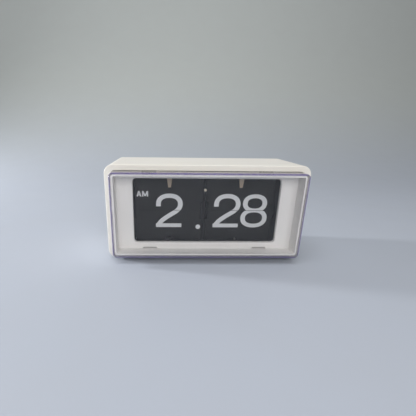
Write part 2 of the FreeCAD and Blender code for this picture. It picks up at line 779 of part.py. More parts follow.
def make_side_plate(label, side):
    body = new_body(label)
    at = plate_inner if side > 0 else -plate_outer
    outline = new_sketch(body, "YZ", at)
    draw_round_box(outline, plate_front, plate_low, plate_rear - plate_front, plate_tall, 3)
    pad(body, outline, "YZ", plate_thick)
    # two lugs bent outwards, screwed to the tray posts
    for up in (post_low, post_high):
        lug = new_sketch(body, "XZ", plate_front)
        reach = post_x - plate_outer + 3.4
        left = plate_outer - 0.6 if side > 0 else -plate_outer - reach
        draw_box(lug, left, up - 4, reach + 0.6, 8)
        pad(body, lug, "XZ", plate_thick)
    lug_holes = new_sketch(body, "XZ", plate_front)
    for up in (post_low, post_high):
        draw_circle(lug_holes, post_x * side, up, screw_radius + 0.1)
    pocket(body, lug_holes, "XZ", plate_thick)
    holes = new_sketch(body, "YZ", at)
    for y, z in rod_spots:
        draw_circle(holes, y, z, rod_radius + thread_gap)
    draw_circle(holes, axis_y, split_height, bush_neck + press_gap)
    if side > 0:
        draw_circle(holes, idler_y, split_height, idler_stud + press_gap)
        draw_circle(holes, setting_y, split_height, bush_neck + press_gap)
    else:
        draw_circle(holes, reduction_y, split_height, stud_radius + press_gap)
    pocket(body, holes, "YZ", plate_thick)
    return node(body, label)


def make_centre_plate():
    body = new_body("centre_plate")
    outline = new_sketch(body, "YZ", -0.5)
    draw_round_box(outline, leaf_front + 0.9, plate_low, plate_rear - leaf_front - 0.9, plate_tall, 3)
    pad(body, outline, "YZ", 1)
    holes = new_sketch(body, "YZ", -0.5)
    for y, z in rod_spots:
        draw_circle(holes, y, z, rod_radius + thread_gap)
    draw_circle(holes, axis_y, split_height, axle_radius + 0.5)
    pocket(body, holes, "YZ", 1)
    return node(body, "centre_plate")


def make_tie_rods():
    half = plate_outer + 3
    bar = rod("X", -half, 0, 0, rod_radius, half * 2)
    loose("tie_rods", copies(bar, [(0, y, z) for y, z in rod_spots]))


def hexagon(across_corners):
    points = []
    for k in range(7):
        a = math.radians(60 * k)
        points.append(V(0, across_corners * math.cos(a), across_corners * math.sin(a)))
    return Part.Face(Part.makePolygon(points))


def make_tie_rod_nuts():
    nut = hexagon(2.5).extrude(V(2.0, 0, 0))
    hole = Part.makeCylinder(float(rod_radius) + float(thread_gap), 4, V(-1, 0, 0), V(1, 0, 0))
    nut = nut.cut(hole)
    solids = []
    for y, z in rod_spots:
        for start in (float(plate_outer), -float(plate_outer) - 2.0):
            moved = nut.copy()
            moved.translate(V(start, float(y), float(z)))
            solids.extend(moved.Solids)
    loose("tie_rod_nuts", Part.makeCompound(solids))


def make_plate_bushes():
    """Flanged bearing bushes: hour sleeve on the left, minute axle and setting arbor on the right."""
    solids = []
    for side, y, bore in (
        (-1, axis_y, sleeve_radius),
        (1, axis_y, axle_radius),
        (1, setting_y, arbor_radius),
    ):
        start = plate_inner - 0.2 if side > 0 else -plate_outer - 0.5
        neck = rod("X", start, y, split_height, bush_neck, plate_thick + 0.7)
        collar_start = plate_outer if side > 0 else -plate_outer - 0.5
        collar = rod("X", collar_start, y, split_height, bush_radius, 0.5)
        hole = rod("X", as_size(start) - 1, y, split_height, as_size(bore) + running_gap, plate_thick + 4)
        bush = cut(fuse(neck, collar), hole)
        doc.recompute()
        solids.extend(bush.Shape.Solids)
    loose("plate_bushes", Part.makeCompound(solids))


def make_wheel_studs():
    """Fixed studs: the intermediate wheel's on the right plate, the reduction wheel's on the left."""
    right = fuse(
        rod("X", plate_inner, idler_y, split_height, idler_stud, plate_thick + 9.1),
        rod("X", plate_outer + 9.1, idler_y, split_height, 2.6, 1),
    )
    left = fuse(
        rod("X", -plate_outer - 7.4, reduction_y, split_height, stud_radius, plate_thick + 7.4),
        rod("X", -plate_outer - 8.4, reduction_y, split_height, 2.0, 1),
    )
    doc.recompute()
    loose("wheel_studs", Part.makeCompound(right.Shape.Solids + left.Shape.Solids))


def make_frame_screws():
    """Eight like screws: four hold the tray to the case ledge, four the plates to the tray."""
    short = make_screw("short_screw", 0, 0, 0, ledge_thick + 1.6, -1)
    ledge_spots = [(tray_screw_x * side, ledge_back, up) for side in (-1, 1)
                   for up in (tray_screw_low, tray_screw_high)]
    frame_spots = [(post_x * side, plate_front + plate_thick, up) for side in (-1, 1)
                   for up in (post_low, post_high)]
    loose("frame_screws", copies(short, ledge_spots + frame_spots))


# ---------------------------------------------------------------- catches
catch_tip = size("catch_tip", float(split_height) + float(flap_reach) - 4.8)
catch_half_top = size("catch_half_top", 2.15)
catch_half_tip = size("catch_half_tip", 1.15)
catch_x = size("catch_x", (float(flap_inner) + float(flap_outer)) / 2)
window_top = window_bottom + window_height


def make_catch_bar():
    bar = block(-bar_post_x - 3.0, bar_front, bar_low, bar_post_x * 2 + 6, bar_thick, bar_tall)
    tools = [rod("Y", bar_post_x * side, bar_front - 1, bar_low + bar_tall / 2, 1.0, 5) for side in (-1, 1)]
    return node(cut(bar, fuse(*tools)), "catch_bar")


def make_catch(label, side):
    """Tapered finger that holds the leaves back; its tip points down in front of them."""
    body = new_body(label)
    outline = new_sketch(body, "XZ", bar_back)
    middle = catch_x * side
    neck = bar_low - 0.5
    draw_outline(outline, [
        (middle - catch_half_tip, catch_tip),
        (middle + catch_half_tip, catch_tip),
        (middle + catch_half_top, neck),
        (middle + catch_half_top, bar_low + bar_tall),
        (middle - catch_half_top, bar_low + bar_tall),
        (middle - catch_half_top, neck),
    ])
    pad(body, outline, "XZ", catch_thick)
    return node(body, label)


def make_centre_peg():
    """Small cream peg that stands forward from the centre plate between the two stacks."""
    start = leaf_front - 1.4
    peg = rod("Y", 0, start, split_height + peg_rise, peg_radius, peg_length)
    soft = doc.addObject("Part::Fillet", "peg")
    soft.Base = peg
    doc.recompute()
    rims = [i + 1 for i, e in enumerate(peg.Shape.Edges) if flat_at(e, 1, start)]
    soft.Edges = [(i, 0.4, 0.4) for i in rims]
    return node(soft, "centre_peg")


# ---------------------------------------------------------------- leaves
def make_leaf(name, side, rise):
    """One number leaf, drawn standing with its ears on the X axis and its free edge up."""
    body = new_body(name)
    sketch = new_sketch(body, "XZ", -flap_thick / 2)
    foot = split_gap / 2 - rise
    top = flap_reach - rise
    shoulder = foot + flap_notch
    low_ear, high_ear = -ear_height / 2, ear_height / 2
    notch_low = catch_tip - split_height - rise - 0.4
    narrow = catch_half_tip + 0.45
    wide = catch_half_top + 0.75
    inner, outer = flap_inner, flap_outer
    right_side = [
        (inner + notch_width, foot),
        (outer, foot),
        (outer, low_ear),
        (outer + ear_length, low_ear),
        (outer + ear_length, high_ear),
        (outer, high_ear),
        (outer, top),
        (catch_x + wide, top),
        (catch_x + narrow, notch_low),
        (catch_x - narrow, notch_low),
        (catch_x - wide, top),
        (inner, top),
        (inner, shoulder),
        (inner + notch_width, shoulder),
        (inner + notch_width, high_ear),
        (inner + notch_width - ear_length, high_ear),
        (inner + notch_width - ear_length, low_ear),
        (inner + notch_width, low_ear),
    ]
    draw_outline(sketch, [(as_size(x) * side, z) for x, z in right_side])
    pad(body, sketch, "XZ", flap_thick)
    return body


def leaf_pose(angle, setback):
    """Where a leaf's ears sit and how far the leaf leans back, for an angle round the drum.

    The angle runs from the front of the drum over its top. Leaves stand on the front upper
    quarter, point outwards round the rear half and hang on the front lower quarter.
    """
    y = float(axis_y) - float(ear_circle) * math.cos(angle) + setback
    z = float(split_height) + float(ear_circle) * math.sin(angle)
    turn = math.degrees(angle)
    lean = 0.0
    if 90.0 < turn <= 270.0:
        lean = turn - 90.0
    elif turn > 270.0:
        lean = 180.0
    return y, z, lean


def placed_leaf(leaf, angle, setback):
    y, z, lean = leaf_pose(angle, setback)
    shape = leaf.Shape.copy()
    shape.rotate(V(), V(1, 0, 0), -lean)
    shape.translate(V(0, y, z))
    return shape.Solids[0]


def make_stack(name, side, leaves, rise):
    """The leaf that falls, the lower leaf on show and the three resting packs of one stack."""
    leaf = make_leaf(name + "_leaf", side, rise)
    doc.recompute()
    step = 2 * math.pi / leaves
    first = step / 2
    packs = {"top": [], "standing": [], "rear": [], "hanging": [], "lower": []}
    pitch = float(flap_thick) + 0.03
    for k in range(leaves):
        angle = first + step * k
        turn = math.degrees(angle)
        from_front = min(k, leaves - 1 - k)
        natural = float(ear_circle) * (1 - math.cos(min(angle, 2 * math.pi - angle)))
        base = float(ear_circle) * (1 - math.cos(first))
        setback = 0.0
        if k < leaves / 4:
            setback = max(0.0, base + pitch * from_front - natural)
        elif k >= leaves * 3 / 4:
            setback = max(0.0, base + float(fallen_gap) + pitch * from_front - natural)
        solid = placed_leaf(leaf, angle, setback)
        if k == 0:
            packs["top"].append(solid)
        elif k == leaves - 1:
            packs["lower"].append(solid)
        elif turn <= 90.0:
            packs["standing"].append(solid)
        elif turn <= 270.0:
            packs["rear"].append(solid)
        else:
            packs["hanging"].append(solid)
    loose(name + "_flap_top", packs["top"][0])
    loose(name + "_flap_lower", packs["lower"][0])
    for pack in ("standing", "rear", "hanging"):
        loose(name + "_flaps_" + pack, Part.makeCompound(packs[pack]))


# ---------------------------------------------------------------- drums
def make_disc(side, start, groove_faces_out):
    """Drum end disc with a ring groove that carries the leaves' ears."""
    low = start if side > 0 else -start - disc_thick
    disc = rod("X", low, axis_y, split_height, disc_radius, disc_thick)
    opens_high = (side > 0) == groove_faces_out
    groove_start = as_size(low) + disc_thick - groove_depth if opens_high else as_size(low) - 1
    ring = tube("X", groove_start, axis_y, split_height, ear_circle + groove_out,
                ear_circle - groove_in, groove_depth + 1)
    return disc, ring


# the four round windows of a disc lie midway between its barrel and its groove
spoke_circle = size(
    "spoke_circle",
    (float(barrel_radius) + float(ear_circle) - float(groove_in)) / 2,
)
spoke_hole = size("spoke_hole", float(spoke_circle) - float(barrel_radius) - 0.95)


def make_discs(label, side, bore):
    hollow = rod("X", -plate_outer, axis_y, split_height, bore, plate_outer * 2)
    solids = []
    for start, faces_out in ((inner_disc, True), (outer_disc, False)):
        disc, ring = make_disc(side, start, faces_out)
        windows = []
        for k in range(4):
            a = math.radians(45 + 90 * k)
            windows.append(rod("X", -plate_outer, axis_y + spoke_circle * math.cos(a),
                               split_height + spoke_circle * math.sin(a), spoke_hole, plate_outer * 2))
        piece = cut(disc, fuse(ring, hollow, *windows))
        doc.recompute()
        solids.extend(piece.Shape.Solids)
    loose(label, Part.makeCompound(solids))


def make_hour_sleeve():
    """Hour drum barrel with the long sleeve that carries the hour wheel outside the plate."""
    barrel_start = -outer_disc
    barrel = rod("X", barrel_start, axis_y, split_height, barrel_radius,
                 outer_disc - inner_disc - disc_thick)
    sleeve = rod("X", -plate_outer - 4.1, axis_y, split_height, sleeve_radius,
                 plate_outer + 4.1 - inner_disc)
    bore = rod("X", -plate_outer - 10, axis_y, split_height, axle_radius + running_gap, plate_outer + 20)
    return node(cut(fuse(barrel, sleeve), bore), "hour_sleeve")


def make_minute_barrel():
    start = inner_disc + disc_thick
    return node(
        tube("X", start, axis_y, split_height, barrel_radius, axle_radius, outer_disc - start),
        "minute_barrel",
    )


def make_minute_axle():
    shaft = rod("X", -plate_outer - 8.6, axis_y, split_height, axle_radius, plate_outer * 2 + 8.6 + 4.0)
    ring_left = rod("X", -plate_outer - 8.2, axis_y, split_height, 2.2, 0.6)
    return node(fuse(shaft, ring_left), "minute_axle")


# ---------------------------------------------------------------- wheels
TOOTH_SLACK = 0.90
ADDENDUM = 0.85
DEDENDUM = 1.2
PRESSURE = math.radians(20)


def involute(angle):
    return math.tan(angle) - angle


def tooth_half_angle(teeth, radius, pitch_radius, base):
    """Half the angle one tooth fills at the given radius."""
    at_pitch = math.pi / (2 * teeth) * TOOTH_SLACK + involute(PRESSURE)
    safe = max(radius, base * 1.0005)
    return at_pitch - involute(math.acos(min(1.0, base / safe)))


def gear_face(teeth, module, turn):
    """Gear outline in the YZ plane round the X axis; turn sets where its first tooth points."""
    pitch_radius = teeth * module / 2
    base = pitch_radius * math.cos(PRESSURE)
    tip = pitch_radius + ADDENDUM * module
    root = pitch_radius - DEDENDUM * module
    flank = [root, max(root + 0.01, base * 1.001), pitch_radius, tip]
    points = []
    for k in range(teeth):
        centre = turn + 2 * math.pi * k / teeth
        halves = [(r, tooth_half_angle(teeth, r, pitch_radius, base)) for r in flank]
        outline = [(r, centre - h) for r, h in halves]
        outline += [(r, centre + h) for r, h in reversed(halves)]
        for r, a in outline:
            points.append(V(0, r * math.cos(a), r * math.sin(a)))
    points.append(points[0])
    return Part.Face(Part.makePolygon(points))


def make_gear(label, teeth, module, x, length, y, z, bore, turn, lighten=0.0):
    shape = gear_face(teeth, float(as_size(module)), turn).extrude(V(float(as_size(length)), 0, 0))
    if float(as_size(bore)) > 0:
        shape = shape.cut(Part.makeCylinder(float(as_size(bore)), 50, V(-10, 0, 0), V(1, 0, 0)))
    if lighten > 0:
        middle = (float(as_size(bore)) + 1.6 + teeth * float(as_size(module)) / 2 - 2.4) / 2
        for k in range(5):
            a = 2 * math.pi * k / 5 + 0.3
            spot = V(-10, middle * math.cos(a), middle * math.sin(a))
            shape = shape.cut(Part.makeCylinder(lighten, 50, spot, V(1, 0, 0)))
    shape.translate(V(float(as_size(x)), float(as_size(y)), float(as_size(z))))
    return loose(label, shape)


def mesh_turn(teeth, driver_teeth, driver_turn, direction):
    """Turn that drops this gear's tooth gap onto the driver's tooth, in the given direction."""
    toward = direction
    offset = ((toward - driver_turn) / (2 * math.pi / driver_teeth)) % 1.0
    facing = direction + math.pi
    return facing + (0.5 + offset) * (2 * math.pi / teeth)


def make_minute_side_wheels():
    m = train_module
    at = plate_outer + 0.9
    bore = idler_stud + running_gap
    make_gear("minute_wheel", MINUTE_TEETH, m, at, wheel_thick, axis_y, split_height,
              axle_radius, 0.0, 1.5)
    pinion_turn = mesh_turn(IDLER_PINION_TEETH, MINUTE_TEETH, 0.0, 0.0)
    make_gear("intermediate_pinion", IDLER_PINION_TEETH, m, at - 0.2, wheel_thick + 0.4, idler_y,
              split_height, bore, pinion_turn)
    wheel_x = plate_outer + 6.9
    wheel_turn = 0.1
    shape = gear_face(IDLER_WHEEL_TEETH, float(m), wheel_turn).extrude(V(float(wheel_thick), 0, 0))
    shape = shape.fuse(Part.makeCylinder(2.5, 3.81, V(-3.8, 0, 0), V(1, 0, 0)))
    shape = shape.cut(Part.makeCylinder(float(bore), 50, V(-20, 0, 0), V(1, 0, 0)))
    middle = 0.55 * float(m) * IDLER_WHEEL_TEETH / 2
    for k in range(5):
        a = 2 * math.pi * k / 5
        spot = V(-20, middle * math.cos(a), middle * math.sin(a))
        shape = shape.cut(Part.makeCylinder(0.3 * middle, 50, spot, V(1, 0, 0)))
    shape.translate(V(float(wheel_x), float(idler_y), float(split_height)))
    loose("intermediate_wheel", shape.removeSplitter())
    make_gear("setting_gear", SETTING_TEETH, m, wheel_x, wheel_thick, setting_y, split_height,
              arbor_radius, mesh_turn(SETTING_TEETH, IDLER_WHEEL_TEETH, wheel_turn, 0.0))
    make_motor_pinion(wheel_x, mesh_turn(MOTOR_TEETH, IDLER_WHEEL_TEETH, wheel_turn, MOTOR_DIRECTION))


def make_motor_pinion(x, turn):
    shape = gear_face(MOTOR_TEETH, float(train_module), turn).extrude(V(float(wheel_thick), 0, 0))
    shaft_start = V(float(wheel_thick) - 0.01, 0, 0)
    shape = shape.fuse(Part.makeCylinder(float(motor_shaft), 3.2, shaft_start, V(1, 0, 0)))
    shape.translate(V(float(x), float(motor_y), float(motor_z)))
    loose("motor_pinion", shape)


def make_hour_side_wheels():
    hour_x = -plate_outer - 4.0
    stud_bore = stud_radius + running_gap
    make_gear("hour_wheel", HOUR_TEETH, hour_module, hour_x, wheel_thick, axis_y, split_height,
              sleeve_radius, 0.0, 2.6)
    make_gear("reduction_pinion", SMALL_TEETH, hour_module, hour_x - 0.9, wheel_thick + 1.3,
              reduction_y, split_height, stud_bore, mesh_turn(SMALL_TEETH, HOUR_TEETH, 0.0, 0.0))
    wheel_x = -plate_outer - 7.0
    first_turn = 0.2
    make_gear("transfer_pinion", SMALL_TEETH, transfer_module, wheel_x - 0.2, wheel_thick + 0.3,
              axis_y, split_height, axle_radius, first_turn)
    wheel_turn = mesh_turn(REDUCTION_TEETH, SMALL_TEETH, first_turn, 0.0)
    make_gear("reduction_wheel", REDUCTION_TEETH, transfer_module, wheel_x, wheel_thick, reduction_y,
              split_height, stud_bore, wheel_turn, 2.6)


# ---------------------------------------------------------------- time setting
def make_thumbwheel():
    """Knurled wheel whose rim stands out of the back of the case."""
    ribs = 40
    points = []
    for k in range(ribs):
        a = 2 * math.pi * k / ribs
        for shift, r in ((0.0, 0.0), (0.45, 0.0), (0.55, 0.55), (0.95, 0.55)):
            b = a + shift * 2 * math.pi / ribs
            radius = float(thumb_radius) - r
            points.append(V(0, radius * math.cos(b), radius * math.sin(b)))
    points.append(points[0])
    wheel = Part.Face(Part.makePolygon(points)).extrude(V(float(thumb_thick), 0, 0))
    dish = Part.makeCylinder(8.2, 1.2, V(-0.2, 0, 0), V(1, 0, 0))
    hub = Part.makeCylinder(3.0, 1.2, V(-0.2, 0, 0), V(1, 0, 0))
    wheel = wheel.cut(dish.cut(hub))
    wheel = wheel.cut(Part.makeCylinder(float(arbor_radius), 20, V(-5, 0, 0), V(1, 0, 0)))
    wheel.translate(V(float(plate_outer) + 2.2, float(setting_y), float(split_height)))
    loose("thumbwheel", wheel)


def make_setting_arbor():
    start = plate_inner - 1.1
    shaft = rod("X", start, setting_y, split_height, arbor_radius, plate_thick + 11.0)
    stop = rod("X", start - 0.1, setting_y, split_height, 2.6, 0.8)
    return node(fuse(shaft, stop), "setting_arbor")


# ---------------------------------------------------------------- rear cover, battery and drive
door_width = size("door_width", float(cell_length) + 1.6)
door_left = size("door_left", 7.4)
door_thick = size("door_thick", 2.0)
door_gap = size("door_gap", 0.3)
door_low = size("door_low", float(cell_height) - 6.0)
door_tall = size("door_tall", 15.2)
door_pin = size("door_pin", 0.6)
door_axis_y = size("door_axis_y", float(case_back) - float(door_thick) / 2)
door_axis_z = size("door_axis_z", float(door_low) + float(door_thick) / 2)
board_left = -38.0
board_low = size("board_low", float(split_height) + 12.0)
board_tall = size("board_tall", 17.0)
board_spots = [(-35.0, 14.5), (-20.0, 26.0)]


def make_rear_cover():
    body = new_body("rear_cover")
    outline = new_sketch(body, "XZ", cover_inner)
    draw_round_box(outline, -cover_width / 2, cover_bottom, cover_width, cover_height, cover_corner)
    pad(body, outline, "XZ", cover_thick)
    round_edges(body, lambda e: flat_at(e, 1, case_back), 0.5)
    hatch = new_sketch(body, "XZ", cover_inner)
    draw_box(hatch, door_left - door_gap, door_low - door_gap, door_width + door_gap * 2,
             door_tall + door_gap * 2)
    pocket(body, hatch, "XZ", cover_thick)
    slot = new_sketch(body, "XZ", cover_inner)
    draw_round_box(slot, plate_outer + 1.6, split_height - 10.4, thumb_thick + 1.2, 20.8, 1)
    pocket(body, slot, "XZ", cover_thick)
    for k in range(5):
        vent = new_sketch(body, "XZ", cover_inner)
        draw_round_box(vent, -44, split_height - 16 + 5 * k, 30, 1.8, 0.85)
        pocket(body, vent, "XZ", cover_thick)
    holes = new_sketch(body, "XZ", cover_inner)
    for side in (-1, 1):
        for up in (cover_screw_low, cover_screw_high):
            draw_circle(holes, cover_screw_x * side, up, screw_radius + 0.15)
    pocket(body, holes, "XZ", cover_thick)
    sinks = new_sketch(body, "XZ", case_back - screw_head_thick)
    for side in (-1, 1):
        for up in (cover_screw_low, cover_screw_high):
            draw_circle(sinks, cover_screw_x * side, up, screw_head + 0.2)
    pocket(body, sinks, "XZ", screw_head_thick)
    pivots = new_sketch(body, "YZ", door_left - door_gap - 1.3)
    draw_circle(pivots, door_axis_y, door_axis_z, door_pin + 0.06)
    pocket(body, pivots, "YZ", door_width + door_gap * 2 + 2.6)
    for x, up in board_spots:
        stand = new_sketch(body, "XZ", cover_inner - 1.8)
        draw_circle(stand, x, split_height + up, 2.0)
        pad(body, stand, "XZ", 1.9)
        pilot = new_sketch(body, "XZ", cover_inner - 1.8)
        draw_circle(pilot, x, split_height + up, small_shank + thread_gap)
        pocket(body, pilot, "XZ", 2.6)
    return node(body, "rear_cover")


def make_battery_door():
    slab = block(door_left, case_back - door_thick, door_axis_z, door_width, door_thick,
                 door_tall - door_thick / 2)
    heel = rod("X", door_left, door_axis_y, door_axis_z, door_thick / 2, door_width)
    pins = rod("X", door_left - door_gap - 1.1, door_axis_y, door_axis_z, door_pin,
               door_width + door_gap * 2 + 2.2)
    grip = []
    for k in range(3):
        grip.append(block(door_left + door_width / 2 - 6, case_back - 0.5,
                          door_low + door_tall - 2.4 - 1.4 * k, 12, 1, 0.7))
    return node(cut(fuse(slab, heel, pins), fuse(*grip)), "battery_door")


cell_left = size("cell_left", float(door_left) + 1.0)
cradle_left = size("cradle_left", float(cell_left) - 5.4)
cradle_right = size("cradle_right", float(cell_left) + float(cell_length) + 2.6)


def make_battery_cradle():
    floor_low = inner_bottom + 0.2
    floor = block(cradle_left, cell_y - 6, floor_low, cradle_right - cradle_left, 11.5,
                  cell_height - cell_radius - 0.3 - floor_low)
    front = block(cradle_left, cell_y - cell_radius - 1.3, floor_low, cradle_right - cradle_left, 1.0,
                  cell_height - floor_low - 1)
    shelf = block(cradle_left, cell_y - cell_radius - 0.8, floor_low, cradle_right - cradle_left, 4, 1.4)
    left = block(cradle_left, cell_y - 6, floor_low, 1.2, 11.5, 14)
    right = block(cradle_right - 1.2, cell_y - 6, floor_low, 1.2, 11.5, 14)
    return node(fuse(floor, front, shelf, left, right), "battery_cradle")


def make_battery_cell():
    can = rod("X", cell_left, cell_y, cell_height, cell_radius, cell_length - 1)
    nub = rod("X", cell_left + cell_length - 1.5, cell_y, cell_height, 2.7, 1.5)
    return node(fuse(can, nub), "battery_cell")


def make_battery_spring():
    """Coil spring on the cell's flat end, wound from 0.5 mm wire, with a flat end tag."""
    room = float(cell_left) - float(cradle_left) - 1.2
    tag_thick = 0.4
    pitch = (room - tag_thick - 0.6) / 3.0
    helix = Part.makeHelix(pitch, pitch * 3.0, 3.6)
    wire = Part.Wire(helix)
    circle = Part.Wire([Part.makeCircle(0.25, V(3.6, 0, 0), V(0, 1, 0))])
    coil = wire.makePipeShell([circle], True, True)
    coil.rotate(V(), V(0, 1, 0), 90)
    coil.translate(V(float(cradle_left) + 1.2 + tag_thick + 0.2, float(cell_y), float(cell_height)))
    tag = Part.makeBox(tag_thick, 9.0, 10.0)
    tag.translate(V(float(cradle_left) + 1.2, float(cell_y) - 4.5, float(cell_height) - 5.0))
    lug = Part.makeBox(tag_thick, 3.0, 3.0)
    lug.translate(V(float(cradle_left) + 1.2, float(cell_y) + 1.5, float(cell_height) + 4.5))
    loose("battery_spring", coil.fuse(tag).fuse(lug))


def make_battery_contact():
    at = cell_left + cell_length + 0.05
    plate = block(at, cell_y - 4.5, cell_height - 5, 0.5, 9, 10)
    lug = block(at, cell_y + 1.5, cell_height + 4.5, 0.5, 3, 3)
    return node(fuse(plate, lug), "battery_contact")


def make_motor():
    """Flat step motor in a round can, carried by a bracket on two posts."""
    seat = bracket_x + bracket_thick
    can = rod("X", seat, motor_y, motor_z, motor_radius, motor_thick)
    lip = rod("X", seat, motor_y, motor_z, motor_radius + motor_lip, motor_lip)
    hollow = rod("X", bracket_x, motor_y, motor_z, motor_shaft + 0.06, 3.6)
    node(cut(fuse(can, lip), hollow), "motor_can")
    low = motor_z - 9
    body = block(bracket_x, motor_y - bracket_half, low, bracket_thick, bracket_half * 2,
                 bracket_screw_high + 2.6 - low)
    hole = rod("X", bracket_x - 1, motor_y, motor_z, 2.4, 4)
    posts = []
    screws = []
    for shift in (-bracket_screw_reach, bracket_screw_reach):
        posts.append(rod("X", plate_outer, motor_y + shift, bracket_screw_high, 2.0,
                         bracket_x - plate_outer + 0.1))
        screws.append(rod("X", bracket_x - 4, motor_y + shift, bracket_screw_high,
                          small_shank + thread_gap, 6))
    node(cut(cut(fuse(body, *posts), hole), fuse(*screws)), "motor_bracket")


def small_screw(axis, x, y, z, length):
    """Small pan-head screw; the head starts at the point, the shank runs back along the axis."""
    steps = {"X": (1, 0, 0), "Y": (0, 1, 0)}[axis]
    head = rod(axis, x, y, z, small_head, 1.0)
    spot = [as_size(c) - float(as_size(length)) * s for c, s in zip((x, y, z), steps)]
    shank = rod(axis, spot[0], spot[1], spot[2], small_shank, length)
    return fuse(head, shank)


def make_small_screws():
    """Six like screws: two in the catch bar, two in the motor bracket, two in the board."""
    things = []
    for side in (-1, 1):
        things.append(small_screw("Y", bar_post_x * side, bar_back, bar_low + bar_tall / 2,
                                  small_length))
    for shift in (-bracket_screw_reach, bracket_screw_reach):
        things.append(small_screw("X", bracket_x + bracket_thick, motor_y + shift, bracket_screw_high,
                                  small_length))
    solids = []
    doc.recompute()
    for thing in things:
        solids.extend(thing.Shape.Solids)
    for x, up in board_spots:
        screw = small_screw("Y", 0, 0, 0, small_length)
        doc.recompute()
        turned = screw.Shape.copy()
        turned.rotate(V(), V(0, 0, 1), 180)
        turned.translate(V(x, float(cover_inner) - 3.0, float(split_height) + up))
        solids.extend(turned.Solids)
    loose("small_screws", Part.makeCompound(solids))


def make_board():
    low = board_low
    slab = block(board_left, cover_inner - 3.0, low, 36, 1.2, board_tall)
    holes = [rod("Y", x, cover_inner - 4, split_height + up, 0.9, 4) for x, up in board_spots]
    node(cut(slab, fuse(*holes)), "circuit_board")
    node(block(-26.0, cover_inner - 4.4, low + 6, 9, 1.4, 6), "drive_chip")
    can = rod("Z", -11.0, cover_inner - 4.6, low + 6, 1.5, 7.5)
    node(can, "quartz_can")


def lead_solid(points, radius):
    """Round wire bent at each corner of the path."""
    spots = [V(*[float(as_size(c)) for c in p]) for p in points]
    bend = 0.8
    edges = []
    previous = spots[0]
    for i in range(1, len(spots) - 1):
        before = spots[i] - spots[i - 1]
        after = spots[i + 1] - spots[i]
        before.normalize()
        after.normalize()
        start = spots[i] - before * bend
        end = spots[i] + after * bend
        middle = spots[i] + (after - before) * (bend * (1 - math.sqrt(0.5)))
        edges.append(Part.LineSegment(previous, start).toShape())
        edges.append(Part.Arc(start, middle, end).toShape())
        previous = end
    edges.append(Part.LineSegment(previous, spots[-1]).toShape())
    path = Part.Wire(edges)
    heading = spots[1] - spots[0]
    profile = Part.Wire([Part.makeCircle(radius, spots[0], heading)])
    return path.makePipeShell([profile], True, False)


def make_leads():
    wire = float(lead_radius)
    lane = cover_inner - 0.75
    lug_end = cell_y + 4.52
    lug_mid = cell_height + 6.5
    board_back = cover_inner - 1.8
    positive_x = cell_left + cell_length + 0.3
    negative_x = cradle_left + 1.4
    for label, x, level in (
        ("battery_lead_positive", positive_x, board_low + 6),
        ("battery_lead_negative", negative_x, board_low + 2.5),
    ):
        loose(label, lead_solid([
            (x, lug_end, lug_mid),
            (x, lane, lug_mid),
            (x, lane, level),
            (-8.0, lane, level),
            (-8.0, board_back, level),
        ], wire))
    solids = []
    for k in range(2):
        level = board_low + 10.4 + 2.5 * k
        side_x = bracket_x + 2.2 + 1.6 * k
        can_edge = math.sqrt(float(motor_radius) ** 2 - (float(level) - float(motor_z)) ** 2)
        solids.append(lead_solid([
            (-14.0, board_back, level),
            (-14.0, lane, level),
            (side_x, lane, level),
            (side_x, motor_y + can_edge + 0.3, level),
        ], wire))
    loose("motor_leads", Part.makeCompound(solids))


# ---------------------------------------------------------------- build all
make_case_shell()
make_rear_cover_screws()
make_feet()
make_lens_cover()
make_tray_bezel()
make_window_mask()
make_side_plate("left_side_plate", -1)
make_side_plate("right_side_plate", 1)
make_centre_plate()
make_tie_rods()
make_tie_rod_nuts()
make_plate_bushes()
make_wheel_studs()
make_frame_screws()
make_catch_bar()
make_catch("hour_catch", -1)
make_catch("minute_catch", 1)
make_centre_peg()
make_stack("hour", -1, hour_leaves, hour_ear_rise)
make_stack("minute", 1, minute_leaves, minute_ear_rise)
make_discs("hour_discs", -1, sleeve_radius)
make_discs("minute_discs", 1, axle_radius)
make_hour_sleeve()
make_minute_barrel()
make_minute_axle()
make_minute_side_wheels()
make_hour_side_wheels()
make_thumbwheel()
make_setting_arbor()
make_rear_cover()
make_battery_door()
make_battery_cradle()
make_battery_cell()
make_battery_spring()
make_battery_contact()
make_motor()
make_small_screws()
make_board()
make_leads()

doc.recompute()
for thing in doc.Objects:
    if "Invalid" in thing.State or "Error" in thing.State:
        raise RuntimeError("failed feature: " + thing.Name)
for thing, label in nodes:
    if thing.Shape.isNull() or not thing.Shape.isValid():
        raise RuntimeError("bad shape: " + label)
    if not thing.Shape.Solids:
        raise RuntimeError("no solid: " + label)
for old in os.listdir("parts"):
    os.remove(os.path.join("parts", old))
for thing, label in nodes:
    thing.Shape.exportStep("parts/" + label + ".step")
print(len(nodes), "sub-parts written")
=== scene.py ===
"""Flip number clock: materials, printed numbers, light and camera, laid out as a Blender add-on."""

import json
import math

import bmesh
import bpy
from bpy.props import FloatProperty, FloatVectorProperty, PointerProperty
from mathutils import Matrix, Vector
from mathutils.geometry import delaunay_2d_cdt


